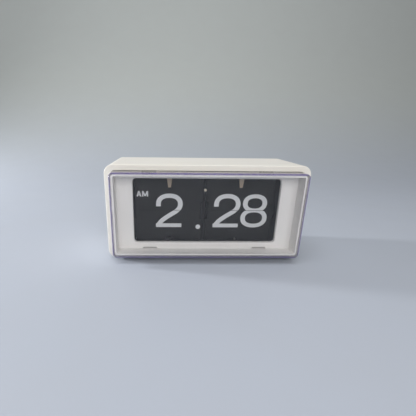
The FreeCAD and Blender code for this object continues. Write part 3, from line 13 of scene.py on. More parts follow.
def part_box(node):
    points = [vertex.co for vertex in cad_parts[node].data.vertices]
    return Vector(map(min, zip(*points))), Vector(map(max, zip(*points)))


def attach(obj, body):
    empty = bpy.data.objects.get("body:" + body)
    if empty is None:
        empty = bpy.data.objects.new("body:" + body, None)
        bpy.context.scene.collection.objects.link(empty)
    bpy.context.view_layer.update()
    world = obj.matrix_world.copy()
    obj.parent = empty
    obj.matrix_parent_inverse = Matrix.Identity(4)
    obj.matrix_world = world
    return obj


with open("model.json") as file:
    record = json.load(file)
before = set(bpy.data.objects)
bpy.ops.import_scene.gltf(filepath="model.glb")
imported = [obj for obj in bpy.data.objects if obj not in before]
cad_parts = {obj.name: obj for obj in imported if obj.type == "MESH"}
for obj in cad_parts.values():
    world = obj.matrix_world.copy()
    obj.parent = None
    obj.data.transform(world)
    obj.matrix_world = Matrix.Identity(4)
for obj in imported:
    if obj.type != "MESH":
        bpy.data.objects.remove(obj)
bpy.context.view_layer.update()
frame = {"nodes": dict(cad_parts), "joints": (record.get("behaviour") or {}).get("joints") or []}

bl_info = {
    "name": "Flip Number Clock",
    "version": (1, 0, 0),
    "blender": (4, 5, 0),
    "location": "3D Viewport > Sidebar > Flip Clock",
    "description": "Finishes, prints the numbers on and lights a split-flap desk clock",
    "category": "Object",
}

MM = 0.001
NODES = frame["nodes"]

# Left edges of the numbers and the place of the small prints, from the clock's middle.
HOUR_LEFT = -42.4 * MM
TENS_LEFT = 8.0 * MM
UNITS_LEFT = 32.3 * MM
LETTERS_LEFT, LETTERS_BASE = -59.0 * MM, 52.1 * MM
DOT_MIDDLE, DOT_LIFT = -5.1 * MM, 0.4 * MM
# Letter height and stroke, and dot radius, in millimetres.
LETTER_HIGH, LETTER_STROKE = 4.8, 1.15
DOT_RADIUS = 2.1
# Where the lamps point, and the lamp colours.
CLOCK_MIDDLE = (0.0, 0.0, 0.04)
WARM, PLAIN = (1.0, 0.985, 0.96), (1.0, 1.0, 1.0)
# Lamps wider than this stay out of reflections, so no round spot lies on the clear cover.
WIDE_LAMP = 0.5

# Which finish each group of CAD nodes takes.
FINISH_OF = {
    "case": ("case_shell", "rear_cover", "battery_door"),
    "tray": ("tray_bezel",),
    "lens": ("lens_cover",),
    "leaf": (
        "hour_flap_top", "hour_flap_lower", "hour_flaps_standing", "hour_flaps_rear",
        "hour_flaps_hanging", "minute_flap_top", "minute_flap_lower", "minute_flaps_standing",
        "minute_flaps_rear", "minute_flaps_hanging",
    ),
    "dark": (
        "window_mask", "centre_plate", "catch_bar", "thumbwheel", "battery_cradle",
        "hour_discs", "minute_discs", "hour_sleeve", "minute_barrel",
    ),
    "catch": ("hour_catch", "minute_catch"),
    "peg": ("centre_peg",),
    "nylon": (
        "hour_wheel", "reduction_wheel", "reduction_pinion", "intermediate_wheel",
        "intermediate_pinion", "setting_gear", "minute_wheel", "transfer_pinion",
        "motor_pinion",
    ),
    "plate": ("left_side_plate", "right_side_plate", "motor_bracket", "motor_can"),
    "screw": (
        "rear_cover_screws", "frame_screws", "small_screws", "tie_rods", "tie_rod_nuts",
        "wheel_studs", "minute_axle", "setting_arbor",
    ),
    "brass": ("plate_bushes",),
    "nickel": ("battery_spring", "battery_contact", "quartz_can"),
    "jacket": ("battery_cell",),
    "board": ("circuit_board",),
    "chip": ("drive_chip",),
    "red_lead": ("battery_lead_positive",),
    "black_lead": ("battery_lead_negative", "motor_leads"),
    "rubber": ("feet",),
}


# ---------------------------------------------------------------- settings
class ClockColours(bpy.types.PropertyGroup):
    """Colours of the clock's finishes."""

    case: FloatVectorProperty(
        name="Case", description="Moulded case and rear cover", subtype="COLOR",
        default=(0.76, 0.74, 0.705), min=0, max=1)
    tray: FloatVectorProperty(
        name="Tray", description="Matt tray round the window", subtype="COLOR",
        default=(0.90, 0.885, 0.865), min=0, max=1)
    leaf: FloatVectorProperty(
        name="Leaf", description="Film that the leaves are cut from", subtype="COLOR",
        default=(0.012, 0.012, 0.0115), min=0, max=1)
    ink: FloatVectorProperty(
        name="Ink", description="Printed numbers", subtype="COLOR",
        default=(0.74, 0.755, 0.765), min=0, max=1)
    catch: FloatVectorProperty(
        name="Catch", description="Tan catch fingers", subtype="COLOR",
        default=(0.50, 0.40, 0.29), min=0, max=1)
    tint: FloatVectorProperty(
        name="Edge tint", description="Violet seen in the clear cover's cut edges", subtype="COLOR",
        default=(0.21, 0.17, 0.42), min=0, max=1)
    table: FloatVectorProperty(
        name="Table", description="Pale table under the clock", subtype="COLOR",
        default=(0.42, 0.455, 0.525), min=0, max=1)
    wall: FloatVectorProperty(
        name="Wall", description="Backdrop behind the clock", subtype="COLOR",
        default=(0.50, 0.53, 0.52), min=0, max=1)
    air: FloatVectorProperty(
        name="Air", description="Even light that fills the studio", subtype="COLOR",
        default=(0.53, 0.53, 0.53), min=0, max=1)


class ClockSizes(bpy.types.PropertyGroup):
    """Sizes of the printed numbers and the small edge rounds."""

    digit_height: FloatProperty(
        name="Digit height", description="Height of the large numbers", subtype="DISTANCE",
        unit="LENGTH", default=30.2 * MM)
    digit_base: FloatProperty(
        name="Digit foot", description="Height of the numbers' feet above the table",
        subtype="DISTANCE", unit="LENGTH", default=24.6 * MM)
    stem: FloatProperty(
        name="Stem", description="Width of the numbers' upright strokes", subtype="DISTANCE",
        unit="LENGTH", default=4.1 * MM)
    bar: FloatProperty(
        name="Bar", description="Height of the numbers' level strokes", subtype="DISTANCE",
        unit="LENGTH", default=3.5 * MM)
    ink_depth: FloatProperty(
        name="Ink depth", description="Thickness of the printed film", subtype="DISTANCE",
        unit="LENGTH", default=0.03 * MM)
    split_margin: FloatProperty(
        name="Split margin", description="Bare strip beside the line between two leaves",
        subtype="DISTANCE", unit="LENGTH", default=0.06 * MM)
    edge_round: FloatProperty(
        name="Edge round", description="Small round on moulded edges", subtype="DISTANCE",
        unit="LENGTH", default=0.16 * MM)


class ClockStage(bpy.types.PropertyGroup):
    """Camera and lights."""

    lens: FloatProperty(
        name="Lens", description="Focal length", subtype="DISTANCE_CAMERA", default=25.803)
    shift_x: FloatProperty(name="Shift X", description="Sideways lens shift", default=0.0807)
    shift_y: FloatProperty(name="Shift Y", description="Upward lens shift", default=0.0673)
    place: FloatVectorProperty(
        name="Camera place", description="Where the camera stands", subtype="TRANSLATION",
        unit="LENGTH", default=(-0.0332, -0.26612, 0.10698))
    aim: FloatVectorProperty(
        name="Camera aim", description="Turn of the camera", subtype="EULER", unit="ROTATION",
        default=(math.radians(70.229), math.radians(-0.683), math.radians(-1.422)))
    key_power: FloatProperty(
        name="Key power", description="Soft light, low on the left", subtype="POWER",
        default=9.0)
    top_power: FloatProperty(
        name="Top power", description="Large soft light overhead", subtype="POWER",
        default=1.0)
    wall_power: FloatProperty(
        name="Wall power", description="Light on the backdrop", subtype="POWER",
        default=19.0)
    fill_power: FloatProperty(
        name="Fill power", description="Broad light from the front", subtype="POWER",
        default=7.5)
    sky_strength: FloatProperty(
        name="Sky strength", description="Even light from all round", default=0.35)


SETTINGS = (ClockColours, ClockSizes, ClockStage)


# ---------------------------------------------------------------- shader sums
class Wire:
    """One socket of a shader tree that can be used in sums like a number."""

    def __init__(self, shader, socket):
        self.shader = shader
        self.socket = socket

    def sum(self, operation, first, second=None):
        return self.shader.add("ShaderNodeMath", {"operation": operation}, [first, second])

    def __add__(self, other):
        return self.sum("ADD", self, other)

    __radd__ = __add__

    def __sub__(self, other):
        return self.sum("SUBTRACT", self, other)

    def __rsub__(self, other):
        return self.sum("SUBTRACT", other, self)

    def __mul__(self, other):
        return self.sum("MULTIPLY", self, other)

    __rmul__ = __mul__

    def __truediv__(self, other):
        return self.sum("DIVIDE", self, other)

    def __gt__(self, other):
        return self.sum("GREATER_THAN", self, other)

    def __lt__(self, other):
        return self.sum("LESS_THAN", self, other)

    def __abs__(self):
        return self.sum("ABSOLUTE", self)

    def at_most(self, limit):
        return self.sum("MINIMUM", self, limit)

    def at_least(self, other):
        return self.sum("MAXIMUM", self, other)

    def smooth(self, low, high):
        """0 below low, 1 above high and an even ramp between them."""
        return self.shader.add(
            "ShaderNodeMapRange", {"interpolation_type": "SMOOTHSTEP", "clamp": True},
            {"Value": self, "From Min": low, "From Max": high})


class Shader:
    """A material's node tree with one method that adds any node."""

    def __init__(self, name):
        self.material = bpy.data.materials.new(name)
        self.material.use_nodes = True
        self.tree = self.material.node_tree
        self.tree.nodes.clear()
        self.output = self.tree.nodes.new("ShaderNodeOutputMaterial")

    def link(self, target, value):
        if isinstance(value, Wire):
            self.tree.links.new(value.socket, target)
        elif target.type == "RGBA" and len(value) == 3:
            target.default_value = (*value, 1.0)
        else:
            target.default_value = value

    def add(self, kind, settings=None, inputs=None, output=0):
        """New node: settings first, then inputs by name or place; gives back one output."""
        made = self.tree.nodes.new(kind)
        for key, value in (settings or {}).items():
            setattr(made, key, value)
        pairs = inputs.items() if isinstance(inputs, dict) else enumerate(inputs or [])
        for key, value in pairs:
            if value is not None:
                self.link(made.inputs[key], value)
        return Wire(self, made.outputs[output])

    def spot(self):
        """Place on the piece, in metres, as the piece stands at rest."""
        return self.add("ShaderNodeTexCoord", output="Object")

    def axes(self):
        spot = self.add("ShaderNodeSeparateXYZ", inputs=[self.spot()])
        outs = spot.socket.node.outputs
        return Wire(self, outs["X"]), Wire(self, outs["Y"]), Wire(self, outs["Z"])

    def noise(self, grain, detail=3.0, stretch=(1, 1, 1), distortion=0.0):
        """Noise whose blotches are about grain millimetres across."""
        place = self.add("ShaderNodeVectorMath", {"operation": "MULTIPLY"}, [self.spot(), stretch])
        return self.add("ShaderNodeTexNoise", None, {
            "Vector": place, "Scale": 1 / (grain * MM), "Detail": detail,
            "Roughness": 0.55, "Distortion": distortion})

    def cells(self, grain, randomness=1.0):
        """Distance from the nearest of many spots that lie about grain millimetres apart."""
        return self.add(
            "ShaderNodeTexVoronoi", {"feature": "F1"},
            {"Vector": self.spot(), "Scale": 1 / (grain * MM), "Randomness": randomness}, "Distance")

    def mix(self, factor, low, high):
        """Colour between low, where the factor is 0, and high, where it is 1."""
        return self.add(
            "ShaderNodeMix", {"data_type": "RGBA", "blend_type": "MIX"},
            {0: factor, 6: low, 7: high}, 2)

    def bump(self, height, depth, strength=1.0, normal=None):
        """Bump whose full height is depth millimetres."""
        return self.add("ShaderNodeBump", None, {
            "Height": height, "Distance": depth * MM, "Strength": strength, "Normal": normal})

    def surface(self, **inputs):
        return self.add("ShaderNodeBsdfPrincipled", None, {
            key.replace("_", " "): value for key, value in inputs.items()})

    def finish(self, shader):
        self.link(self.output.inputs["Surface"], shader)
        return self.material


def scaled(colour, factor):
    return tuple(min(1.0, c * factor) for c in colour)


def smudges(shader, size):
    """Soft patches where fingers have dulled the surface."""
    broad = shader.noise(size, 4, distortion=0.6)
    fine = shader.noise(size / 9, 2)
    return broad.smooth(0.48, 0.72) * (0.6 + 0.4 * fine)


def scratches(shader, grain, length, amount=0.62):
    """Hairline marks, long one way and thin the other."""
    lines = shader.noise(grain, 2, stretch=(1 / length, 1, 1), distortion=0.3)
    return lines.smooth(amount, amount + 0.06)


def case_plastic(name, colour):
    """Satin moulded plastic, a little yellowed, with fine spark grain and finger marks."""
    s = Shader(name)
    z = s.axes()[2]
    aged = s.noise(42, 4) * 0.55 + (z * 9.0) * 0.25
    yellowed = (colour[0], colour[1] * 0.985, colour[2] * 0.945)
    base = s.mix(aged.smooth(0.2, 0.75), scaled(colour, 0.985), yellowed)
    base = s.mix(s.noise(0.9, 2).smooth(0.35, 0.75) * 0.05, base, scaled(colour, 0.8))
    grime = (0.012 - z).smooth(0.0, 0.01) * s.noise(4, 3).smooth(0.4, 0.7)
    base = s.mix(grime * 0.22, base, (0.45, 0.42, 0.38))
    specks = (s.cells(2.6) < 0.05) * (s.noise(7, 2) > 0.56)
    base = s.mix(specks * 0.35, base, (0.32, 0.30, 0.28))
    rough = 0.33 + 0.10 * s.noise(14, 3) + 0.14 * smudges(s, 20) - 0.05 * scratches(s, 0.12, 30)
    grain = s.noise(0.22, 3)
    waves = s.noise(16, 1)
    normal = s.bump(grain, 0.006, 0.55, s.bump(waves, 0.05, 0.5))
    return s.finish(s.surface(
        Base_Color=base, Roughness=rough, Normal=normal, IOR=1.49, Subsurface_Weight=0.04,
        Subsurface_Radius=(1.0, 0.8, 0.6), Subsurface_Scale=0.8 * MM))


def tray_plastic(name, colour):
    """Matt eroded tray surface, cooler than the case, dustier towards its lower wall."""
    s = Shader(name)
    z = s.axes()[2]
    base = s.mix(s.noise(30, 4).smooth(0.3, 0.7), colour, scaled(colour, 0.955))
    base = s.mix(s.noise(0.5, 2).smooth(0.4, 0.8) * 0.08, base, scaled(colour, 0.8))
    dust = (0.014 - z).smooth(0.0, 0.006) * s.noise(2.4, 4).smooth(0.35, 0.7)
    base = s.mix(dust * 0.18, base, (0.50, 0.48, 0.46))
    rough = 0.52 + 0.16 * s.noise(9, 3) + 0.06 * smudges(s, 16)
    pits = s.cells(0.35)
    normal = s.bump(pits, 0.012, 0.45, s.bump(s.noise(12, 1), 0.04, 0.4))
    return s.finish(s.surface(Base_Color=base, Roughness=rough, Normal=normal, IOR=1.48))


def lens_plastic(name, tint):
    """Clear cover: see-through panes, violet where the wall is seen edge on."""
    s = Shader(name)
    low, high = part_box("lens_cover")
    x, y, z = s.axes()
    middle = (low.z + high.z) / 2
    wall, pane_depth = 1.5 * MM, 1.2 * MM
    side = (wall - (high.x - abs(x))).smooth(0.0, 0.5 * MM)
    level = (wall - ((high.z - low.z) / 2 - abs(z - middle))).smooth(0.0, 0.5 * MM)
    front = (pane_depth - (y - low.y)).smooth(0.0, 0.4 * MM)
    rim = side.at_least(level)
    edge = rim * front
    back = (y - (high.y - 4.5 * MM)).smooth(0.0, 0.5 * MM)
    haze = s.noise(11, 4).smooth(0.5, 0.85) * 0.012 + scratches(s, 0.10, 26) * 0.02
    gloss = s.add("ShaderNodeBsdfGlossy", None, {
        "Color": (1, 1, 1), "Roughness": 0.02 + 0.04 * smudges(s, 18),
        "Normal": s.bump(s.noise(40, 1), 0.02, 0.2)})
    clear = s.add("ShaderNodeBsdfTransparent", None, {"Color": (0.988, 0.988, 0.993)})
    fresnel = s.add("ShaderNodeFresnel", None, {"IOR": 1.45})
    pane = s.add("ShaderNodeMixShader", None, [fresnel.at_most(0.75), clear, gloss])
    violet = s.surface(
        Base_Color=s.mix(s.noise(5, 2), tint, scaled(tint, 0.75)), Roughness=0.22, IOR=1.49,
        Coat_Weight=0.4)
    cover = edge * 0.60 + rim * 0.015 + back * rim * 0.35 + haze
    return s.finish(s.add("ShaderNodeMixShader", None, [cover.at_most(0.9), pane, violet]))


def leaf_film(name, colour):
    """Black matt film with a faint sheen, slight curl and fine handling marks."""
    s = Shader(name)
    base = s.mix(s.noise(18, 4).smooth(0.3, 0.75), colour, scaled(colour, 1.35))
    base = s.mix(scratches(s, 0.10, 18, 0.66) * 0.25, base, scaled(colour, 3.0))
    lint = (s.cells(1.7) < 0.045) * (s.noise(6, 2) > 0.54)
    base = s.mix(lint * 0.5, base, (0.30, 0.30, 0.30))
    rough = 0.50 + 0.12 * s.noise(7, 3) - 0.08 * smudges(s, 15)
    normal = s.bump(s.noise(0.3, 2), 0.004, 0.5, s.bump(s.noise(20, 1), 0.05, 0.4))
    return s.finish(s.surface(Base_Color=base, Roughness=rough, Normal=normal, IOR=1.34))


def ink(name, colour):
    """Screen-printed ink: even, with pinholes and slightly worn patches."""
    s = Shader(name)
    worn = s.noise(3.2, 5).smooth(0.55, 0.85)
    base = s.mix(worn * 0.18, colour, scaled(colour, 0.7))
    pin = (s.cells(0.9) < 0.06) * (s.noise(4, 2) > 0.58)
    base = s.mix(pin * 0.6, base, scaled(colour, 0.25))
    rough = 0.48 + 0.15 * s.noise(2, 3)
    normal = s.bump(s.noise(0.18, 2), 0.004, 0.6)
    return s.finish(s.surface(Base_Color=base, Roughness=rough, Normal=normal, IOR=1.5))


def moulded(name, colour, rough=0.45, grain=0.35, shine=0.0):
    """Plain moulded plastic with flow marks and grain."""
    s = Shader(name)
    base = s.mix(s.noise(9, 4).smooth(0.3, 0.7), colour, scaled(colour, 0.86))
    base = s.mix(s.noise(grain * 2, 2).smooth(0.5, 0.8) * 0.2, base, scaled(colour, 1.2))
    gloss = rough + 0.12 * s.noise(5, 3) - 0.06 * smudges(s, 8)
    normal = s.bump(s.noise(grain, 3), 0.008, 0.5)
    return s.finish(s.surface(
        Base_Color=base, Roughness=gloss, Normal=normal, IOR=1.5, Coat_Weight=shine))


def metal(name, colour, rough, stretch, grain=0.14):
    """Bare metal with drawn or turned lines, dull spots and light oxide."""
    s = Shader(name)
    lines = s.noise(grain, 3, stretch=stretch)
    base = s.mix(lines.smooth(0.3, 0.7), scaled(colour, 0.85), colour)
    base = s.mix(s.noise(6, 4).smooth(0.55, 0.8) * 0.35, base, scaled(colour, 0.55))
    gloss = rough + 0.16 * lines + 0.12 * s.noise(4, 3).smooth(0.5, 0.8)
    normal = s.bump(lines, 0.006, 0.5)
    return s.finish(s.surface(Base_Color=base, Roughness=gloss, Metallic=1.0, Normal=normal))


def jacket(name):
    """Printed cell jacket: dark body, copper-coloured shoulder and pale band, bare steel ends."""
    s = Shader(name)
    low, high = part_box("battery_cell")
    x = s.axes()[0]
    span = high.x - low.x
    along = (x - low.x) / span
    body = s.mix(s.noise(5, 3), (0.030, 0.036, 0.050), (0.022, 0.026, 0.036))
    shoulder = s.mix(s.noise(0.4, 2, stretch=(0.1, 1, 1)), (0.60, 0.33, 0.16), (0.50, 0.26, 0.12))
    base = s.mix(along > 0.74, body, shoulder)
    base = s.mix((along > 0.70) * (along < 0.735), base, (0.62, 0.62, 0.60))
    steel = (along > 0.965).at_least(along < 0.012)
    base = s.mix(steel, base, (0.60, 0.59, 0.57))
    rough = 0.26 + 0.16 * s.noise(3, 3)
    normal = s.bump(s.noise(0.5, 2), 0.006, 0.4)
    return s.finish(s.surface(
        Base_Color=base, Roughness=rough, Metallic=(along > 0.74) * 0.85, Normal=normal))


def board(name):
    """Green lacquered board with raised tracks and solder spots."""
    s = Shader(name)
    x, _, z = s.axes()
    grid = s.add(
        "ShaderNodeTexBrick", {"offset": 0.5},
        {"Vector": s.add("ShaderNodeCombineXYZ", None, [x, z, 0.0]), "Scale": 260.0,
         "Mortar Size": 0.035, "Brick Width": 0.9, "Row Height": 0.45,
         "Color1": (0, 0, 0), "Color2": (0.15, 0.15, 0.15), "Mortar": (1, 1, 1)}, "Fac")
    base = s.mix(grid, (0.020, 0.115, 0.040), (0.035, 0.19, 0.065))
    pads = s.cells(3.2, randomness=0.5) < 0.16
    base = s.mix(pads, base, (0.55, 0.55, 0.53))
    rough = 0.32 + 0.18 * s.noise(4, 2)
    normal = s.bump(grid + pads * 1.5, 0.05, 0.7)
    return s.finish(s.surface(Base_Color=base, Roughness=rough, Metallic=pads * 0.8, Normal=normal))


def rubber(name):
    s = Shader(name)
    base = s.mix(s.noise(3, 4).smooth(0.45, 0.75), (0.018, 0.018, 0.018), (0.060, 0.057, 0.053))
    rough = 0.72 + 0.16 * s.noise(2, 3)
    normal = s.bump(s.noise(0.3, 3), 0.02, 0.6)
    return s.finish(s.surface(Base_Color=base, Roughness=rough, Normal=normal))


def table_top(name, colour, wall):
    """Smooth painted board that turns greyer up the backdrop: faint mottling, a low sheen."""
    s = Shader(name)
    _, y, z = s.axes()
    base = s.mix((y + z).smooth(0.25, 1.5), colour, wall)
    base = s.mix(s.noise(60, 4).smooth(0.3, 0.7) * 0.06, base, (0.4, 0.4, 0.4))
    base = s.mix(s.noise(1.2, 3).smooth(0.5, 0.8) * 0.05, base, (0.3, 0.3, 0.3))
    rough = 0.42 + 0.12 * s.noise(40, 3)
    normal = s.bump(s.noise(0.8, 3), 0.01, 0.4)
    return s.finish(s.surface(Base_Color=base, Roughness=rough, Normal=normal))


# ---------------------------------------------------------------- helpers
def paint(names, material):
    for name in names:
        mesh = NODES[name].data
        if not mesh.materials:
            mesh.materials.append(material)
        for i in range(len(mesh.materials)):
            mesh.materials[i] = material


def soften(name, width, angle=40):
    """Joins the CAD mesh's split corners and rounds its sharp edges a little."""
    obj = NODES[name]
    weld = obj.modifiers.new("join_corners", "WELD")
    weld.merge_threshold = 0.002 * MM
    edge = obj.modifiers.new("edge_round", "BEVEL")
    edge.width = width
    edge.segments = 2
    edge.limit_method = "ANGLE"
    edge.angle_limit = math.radians(angle)
    edge.harden_normals = False
    normals = obj.modifiers.new("even_light", "WEIGHTED_NORMAL")
    normals.keep_sharp = False
    normals.weight = 100


# ---------------------------------------------------------------- number shapes
def arc(centre, radii, start, end, steps=26, square=2.25):
    """Points round a slightly squared oval, from one angle to another, in degrees."""
    points = []
    for i in range(steps + 1):
        a = math.radians(start + (end - start) * i / steps)
        c, s = math.cos(a), math.sin(a)
        x = math.copysign(abs(c) ** (2 / square), c)
        z = math.copysign(abs(s) ** (2 / square), s)
        points.append((centre[0] + radii[0] * x, centre[1] + radii[1] * z))
    return points


def bend(a, b, c, d, steps=18):
    """Points along a cubic curve."""
    points = []
    for i in range(steps + 1):
        t = i / steps
        u = 1 - t
        weights = (u * u * u, 3 * u * u * t, 3 * u * t * t, t * t * t)
        points.append(tuple(sum(w * p[k] for w, p in zip(weights, (a, b, c, d))) for k in (0, 1)))
    return points


def stroke(points, stem, bar, closed=False):
    """Quads that follow a path; upright parts are stem wide and level parts bar high."""
    clean = [points[0]]
    for p in points[1:]:
        if math.dist(p, clean[-1]) > 0.02:
            clean.append(p)
    if closed and math.dist(clean[0], clean[-1]) < 0.05:
        clean.pop()
    count = len(clean)
    left, right = [], []
    for i, p in enumerate(clean):
        before = clean[i - 1] if closed or i else clean[0]
        after = clean[(i + 1) % count] if closed or i < count - 1 else clean[-1]
        dx, dz = after[0] - before[0], after[1] - before[1]
        length = math.hypot(dx, dz)
        dx, dz = dx / length, dz / length
        half = (bar * dx * dx + stem * dz * dz) / 2
        left.append((p[0] - dz * half, p[1] + dx * half))
        right.append((p[0] + dz * half, p[1] - dx * half))
    last = count if closed else count - 1
    return [
        [left[i], left[(i + 1) % count], right[(i + 1) % count], right[i]] for i in range(last)
    ]


def quad(x0, z0, x1, z1):
    return [[(x0, z0), (x1, z0), (x1, z1), (x0, z1)]]


def digit_two(stem, bar):
    crown = arc((11.85, 20.9), (9.5, 30.1 - bar / 2 - 20.9), 180, 0)
    tail = bend((21.35, 20.9), (21.3, 15.4), (15.4, 13.4), (10.6, 10.0))
    foot = bend((10.6, 10.0), (6.6, 7.2), (3.6, 5.4), (2.35, 1.2))
    path = [(2.35, 19.0)] + crown + tail[1:] + foot[1:]
    return stroke(path, stem, bar + 0.25) + quad(0, 0, 22.6, bar)


def digit_three(stem, bar):
    upper = arc((11.3, 22.2), (8.4, 6.2), 188, -90)
    lower = arc((11.5, 8.9), (9.3, 7.1), 90, -176)
    shapes = stroke(upper, stem, bar) + stroke(lower, stem, bar)
    return shapes + quad(8.4, 16.0 - bar / 2, 12.0, 16.0 + bar / 2)


def digit_eight(stem, bar):
    waist = 15.7
    upper_half = (30.1 - bar / 2 - waist) / 2
    lower_half = (waist - bar / 2) / 2
    upper = arc((11.75, waist + upper_half), (8.5, upper_half), 0, 360, 48)
    lower = arc((11.75, waist - lower_half), (9.7, lower_half), 0, 360, 48)
    return stroke(upper, stem, bar, True) + stroke(lower, stem, bar, True)


def digit_nine(stem, bar):
    ring = arc((11.75, 20.3), (9.6, 30.1 - bar / 2 - 20.3), 0, 360, 48)
    tail = arc((11.75, 15.0), (9.6, 15.0 - bar / 2), 12, -92, 30)
    hook = arc((11.6, 8.4), (8.9, 8.4 - bar / 2), -90, -172, 16)
    return stroke(ring, stem, bar, True) + stroke(tail, stem, bar) + stroke(hook, stem, bar)


def letters_am(high, weight):
    """Small bold capitals, 10.3 mm wide together."""
    lean = stroke([(0.75, 0), (2.35, high)], weight * 1.1, weight)
    back = stroke([(3.95, 0), (2.35, high)], weight * 1.1, weight)
    shapes = lean + back + quad(1.2, 0.95, 3.5, 0.95 + weight * 0.8)
    left, right = 5.6, 9.7
    shapes += quad(left - weight / 2, 0, left + weight / 2, high)
    shapes += quad(right - weight / 2, 0, right + weight / 2, high)
    centre = (left + right) / 2
    shapes += stroke([(left + 0.1, high - 0.25), (centre, 0.45)], weight * 1.15, weight)
    shapes += stroke([(right - 0.1, high - 0.25), (centre, 0.45)], weight * 1.15, weight)
    return shapes


def turned_clockwise(shape):
    area = sum(a[0] * b[1] - b[0] * a[1] for a, b in zip(shape, shape[1:] + shape[:1]))
    return area < 0


def print_mesh(name, shapes, x, z, low, high, face, depth, over=None):
    """Thin printed film: the shapes' union between two levels, on a face that looks along -Y.

    Shapes are in millimetres; x and z place their corner. With over given, the film lies on
    the leaf's reverse, so that it reads upright once the leaf has turned over that level.
    """
    points, faces = [], []
    wide = 200.0
    strip = quad(-wide, low / MM, wide, high / MM)
    for shape in [[(x / MM + a, z / MM + b) for a, b in shape] for shape in shapes] + strip:
        if turned_clockwise(shape):
            shape = shape[::-1]
        faces.append(list(range(len(points), len(points) + len(shape))))
        points.extend(Vector(p) for p in shape)
    clip = len(faces) - 1
    verts, _, tris, _, _, origin = delaunay_2d_cdt(points, [], faces, 1, 1e-5)
    kept = [t for t, o in zip(tris, origin) if clip in o and len(o) > 1]
    if not kept:
        raise RuntimeError("nothing of the print lies on this leaf: " + name)
    work = bmesh.new()
    made = {}
    for tri in kept:
        corners = []
        for i in tri:
            if i not in made:
                across, up = verts[i].x * MM, verts[i].y * MM
                if over is None:
                    made[i] = work.verts.new((across, face - depth, up))
                else:
                    made[i] = work.verts.new((across, face + depth, 2 * over - up))
            corners.append(made[i])
        work.faces.new(corners)
    bmesh.ops.dissolve_limit(
        work, angle_limit=0.001, verts=work.verts, edges=work.edges, delimit=set())
    outward = Vector((0, -1 if over is None else 1, 0))
    for f in work.faces:
        f.normal_update()
        if f.normal.dot(outward) < 0:
            f.normal_flip()
    skirt = bmesh.ops.extrude_face_region(work, geom=list(work.faces), use_keep_orig=True)
    for v in [g for g in skirt["geom"] if isinstance(g, bmesh.types.BMVert)]:
        v.co -= outward * depth
    bottom = [g for g in skirt["geom"] if isinstance(g, bmesh.types.BMFace)]
    bmesh.ops.reverse_faces(work, faces=bottom)
    bmesh.ops.recalc_face_normals(work, faces=work.faces)
    mesh = bpy.data.meshes.new(name)
    work.to_mesh(mesh)
    work.free()
    obj = bpy.data.objects.new(name, mesh)
    bpy.context.scene.collection.objects.link(obj)
    return obj


# ---------------------------------------------------------------- operators
class FLIPCLOCK_OT_finishes(bpy.types.Operator):
    """Give every part of the clock its finish"""

    bl_idname = "flip_clock.finishes"
    bl_label = "Finish the parts"

    def execute(self, context):
        colours = context.scene.flip_clock_colours
        made = {
            "case": case_plastic("case_white", tuple(colours.case)),
            "tray": tray_plastic("tray_matt_white", tuple(colours.tray)),
            "lens": lens_plastic("clear_cover", tuple(colours.tint)),
            "leaf": leaf_film("leaf_film", tuple(colours.leaf)),
            "dark": moulded("black_moulded", (0.010, 0.010, 0.011), 0.55, 0.4),
            "catch": moulded("tan_catch", tuple(colours.catch), 0.42, 0.25, 0.1),
            # Peg: cream plastic, made lighter than the nylon so that it shows bright in the shade of
            # the recess; partly its own cream, partly painted light.
            "peg": moulded("cream_peg_painted_light", (0.86, 0.79, 0.66), 0.38, 0.2, 0.2),
            "nylon": moulded("natural_nylon", (0.70, 0.66, 0.55), 0.40, 0.3),
            "plate": metal("blackened_sheet", (0.055, 0.055, 0.058), 0.42, (1, 0.05, 1)),
            "screw": metal("turned_steel", (0.52, 0.52, 0.53), 0.26, (0.1, 1, 1)),
            "brass": metal("turned_brass", (0.68, 0.52, 0.25), 0.26, (0.1, 1, 1)),
            "nickel": metal("nickel_strip", (0.66, 0.64, 0.58), 0.22, (1, 1, 0.08)),
            "jacket": jacket("cell_jacket"),
            "board": board("green_board"),
            "chip": moulded("chip_black", (0.020, 0.020, 0.021), 0.55, 0.2),
            "red_lead": moulded("red_sleeve", (0.42, 0.028, 0.022), 0.38, 0.5, 0.2),
            "black_lead": moulded("black_sleeve", (0.020, 0.020, 0.020), 0.38, 0.5, 0.2),
            "rubber": rubber("foot_rubber"),
        }
        for finish, names in FINISH_OF.items():
            paint(names, made[finish])
        return {"FINISHED"}


class FLIPCLOCK_OT_edges(bpy.types.Operator):
    """Round the small edges that catch the light"""

    bl_idname = "flip_clock.edges"
    bl_label = "Round the edges"

    def execute(self, context):
        sizes = context.scene.flip_clock_sizes
        for name in ("rear_cover", "battery_door", "window_mask", "thumbwheel"):
            soften(name, sizes.edge_round)
        for name in ("hour_catch", "minute_catch"):
            soften(name, sizes.edge_round * 0.6)
        return {"FINISHED"}


